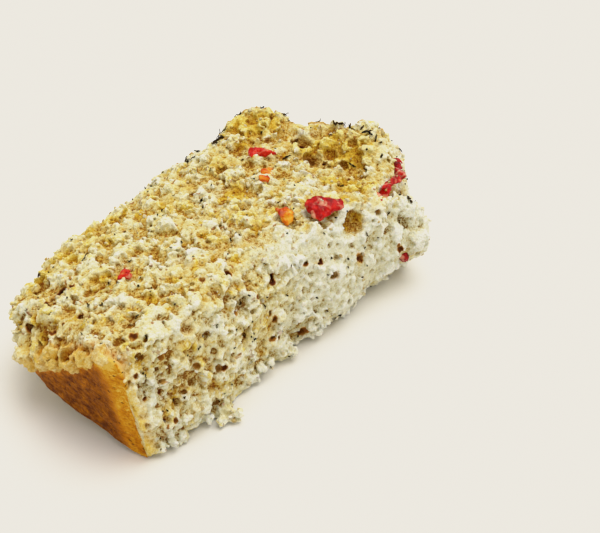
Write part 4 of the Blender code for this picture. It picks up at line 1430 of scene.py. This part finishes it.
CRUMB_MAT = crumb_material()
for obj in crumbs:
    dress(obj, CRUMB_MAT, "crumb", "bread")
dress(base_crust, crust_material(), "base_crust", "bread")
dress(herbs, herb_material(), "herb")
dress(grains, grain_material(), "crumb")
RED_MAT = tomato_material("tomato_flesh", RED, 0.80)
DARK_MAT = tomato_material("tomato_flesh_dark", DARK_RED, 0.5)
BRIGHT_MAT = tomato_material("tomato_flesh_bright", BRIGHT_RED, 0.5)
ORANGE_MAT = tomato_material("tomato_flesh_orange", ORANGE, 0.3)
for name, obj in tomatoes.items():
    orange = "orange" in name
    mat = (ORANGE_MAT if orange else BRIGHT_MAT if name in ("tomato_top", "tomato_small_left") else
           DARK_MAT if name == "tomato_small_right" else RED_MAT)
    dress(obj, mat, "tomato_orange" if orange else "tomato", *([name] if name in TOMATO else []))

# ------------------------------------------------------------------- stage
floor_mesh = bpy.data.meshes.new("floor")
floor_mesh.from_pydata([(-4, -4, 0), (4, -4, 0), (4, 4, 0), (-4, 4, 0)], [], [(0, 1, 2, 3)])
floor = bpy.data.objects.new("floor", floor_mesh)
bpy.context.scene.collection.objects.link(floor)
floor.location.z = -0.00002
mat, shader = node_tree("pale_floor")
n = Nodes(mat)
n.put(shader.inputs["Base Color"], n.ramp(n.noise(3, 2, 0.5), ((0.0, (236, 233, 226)), (1.0, (240, 237, 230)))))
shader.inputs["Roughness"].default_value = 0.9
shader.inputs["Specular IOR Level"].default_value = 0.2
floor.data.materials.append(mat)

world = bpy.data.worlds.new("studio")
bpy.context.scene.world = world
world.use_nodes = True
world.node_tree.nodes["Background"].inputs["Color"].default_value = (1.0, 0.985, 0.955, 1)
world.node_tree.nodes["Background"].inputs["Strength"].default_value = 0.65


def sun(name, towards, strength, angle, colour):
    """A soft far light shining from this direction."""
    data = bpy.data.lights.new(name, "SUN")
    data.energy = strength
    data.angle = math.radians(angle)
    data.color = colour
    obj = bpy.data.objects.new(name, data)
    obj.rotation_euler = Vector(towards).to_track_quat("Z", "Y").to_euler()
    bpy.context.scene.collection.objects.link(obj)


FLAT_FORWARD = Vector((FORWARD.x, FORWARD.y, 0)).normalized()
sun("key", RIGHT * 0.22 + FLAT_FORWARD * 0.05 + Vector((0, 0, 1)), 2.1, 55, (1.0, 0.985, 0.95))

camera_data = bpy.data.cameras.new("camera")
camera_data.lens = LENS
camera_data.sensor_width = SENSOR
camera_data.clip_start = 0.01
camera = bpy.data.objects.new("camera", camera_data)
bpy.context.scene.collection.objects.link(camera)
camera.location = CAM_POS * MM
camera.rotation_euler = FORWARD.to_track_quat("-Z", "Y").to_euler()
bpy.context.scene.camera = camera


def film_curve(view, tops=(0.84, 0.812, 0.745), knee=0.17, reach=1.6):
    """The photo's whites stop at a pale cream: a straight curve that bends over below it."""
    view.view_transform = "Standard"
    view.look = "None"
    view.use_curve_mapping = True
    mapping = view.curve_mapping
    mapping.white_level = (reach,) * 3
    mapping.extend = "HORIZONTAL"
    for curve, top in zip(mapping.curves[:3], tops):
        start, end = top - knee, top + knee
        xs = [0.0, start * 0.5, start * 0.9] + [start + (end - start) * k / 6 for k in range(7)] + [end + 0.1, reach]
        while len(curve.points) > 2:
            curve.points.remove(curve.points[1])
        for k, x in enumerate(xs):
            y = x if x <= start else (x - (x - start) ** 2 / (4 * knee) if x < end else top)
            at = (x / reach, y)
            if k == 0:
                curve.points[0].location = at
            elif k == len(xs) - 1:
                curve.points[-1].location = at
            else:
                curve.points.new(*at)
        for point in curve.points:
            point.handle_type = "VECTOR"
    mapping.update()


film_curve(bpy.context.scene.view_settings)

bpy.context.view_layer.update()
total = sum(triangles_in(o) for o in [*crumbs, base_crust, herbs, grains, *tomatoes.values()])
note(f"done, {total} triangles")
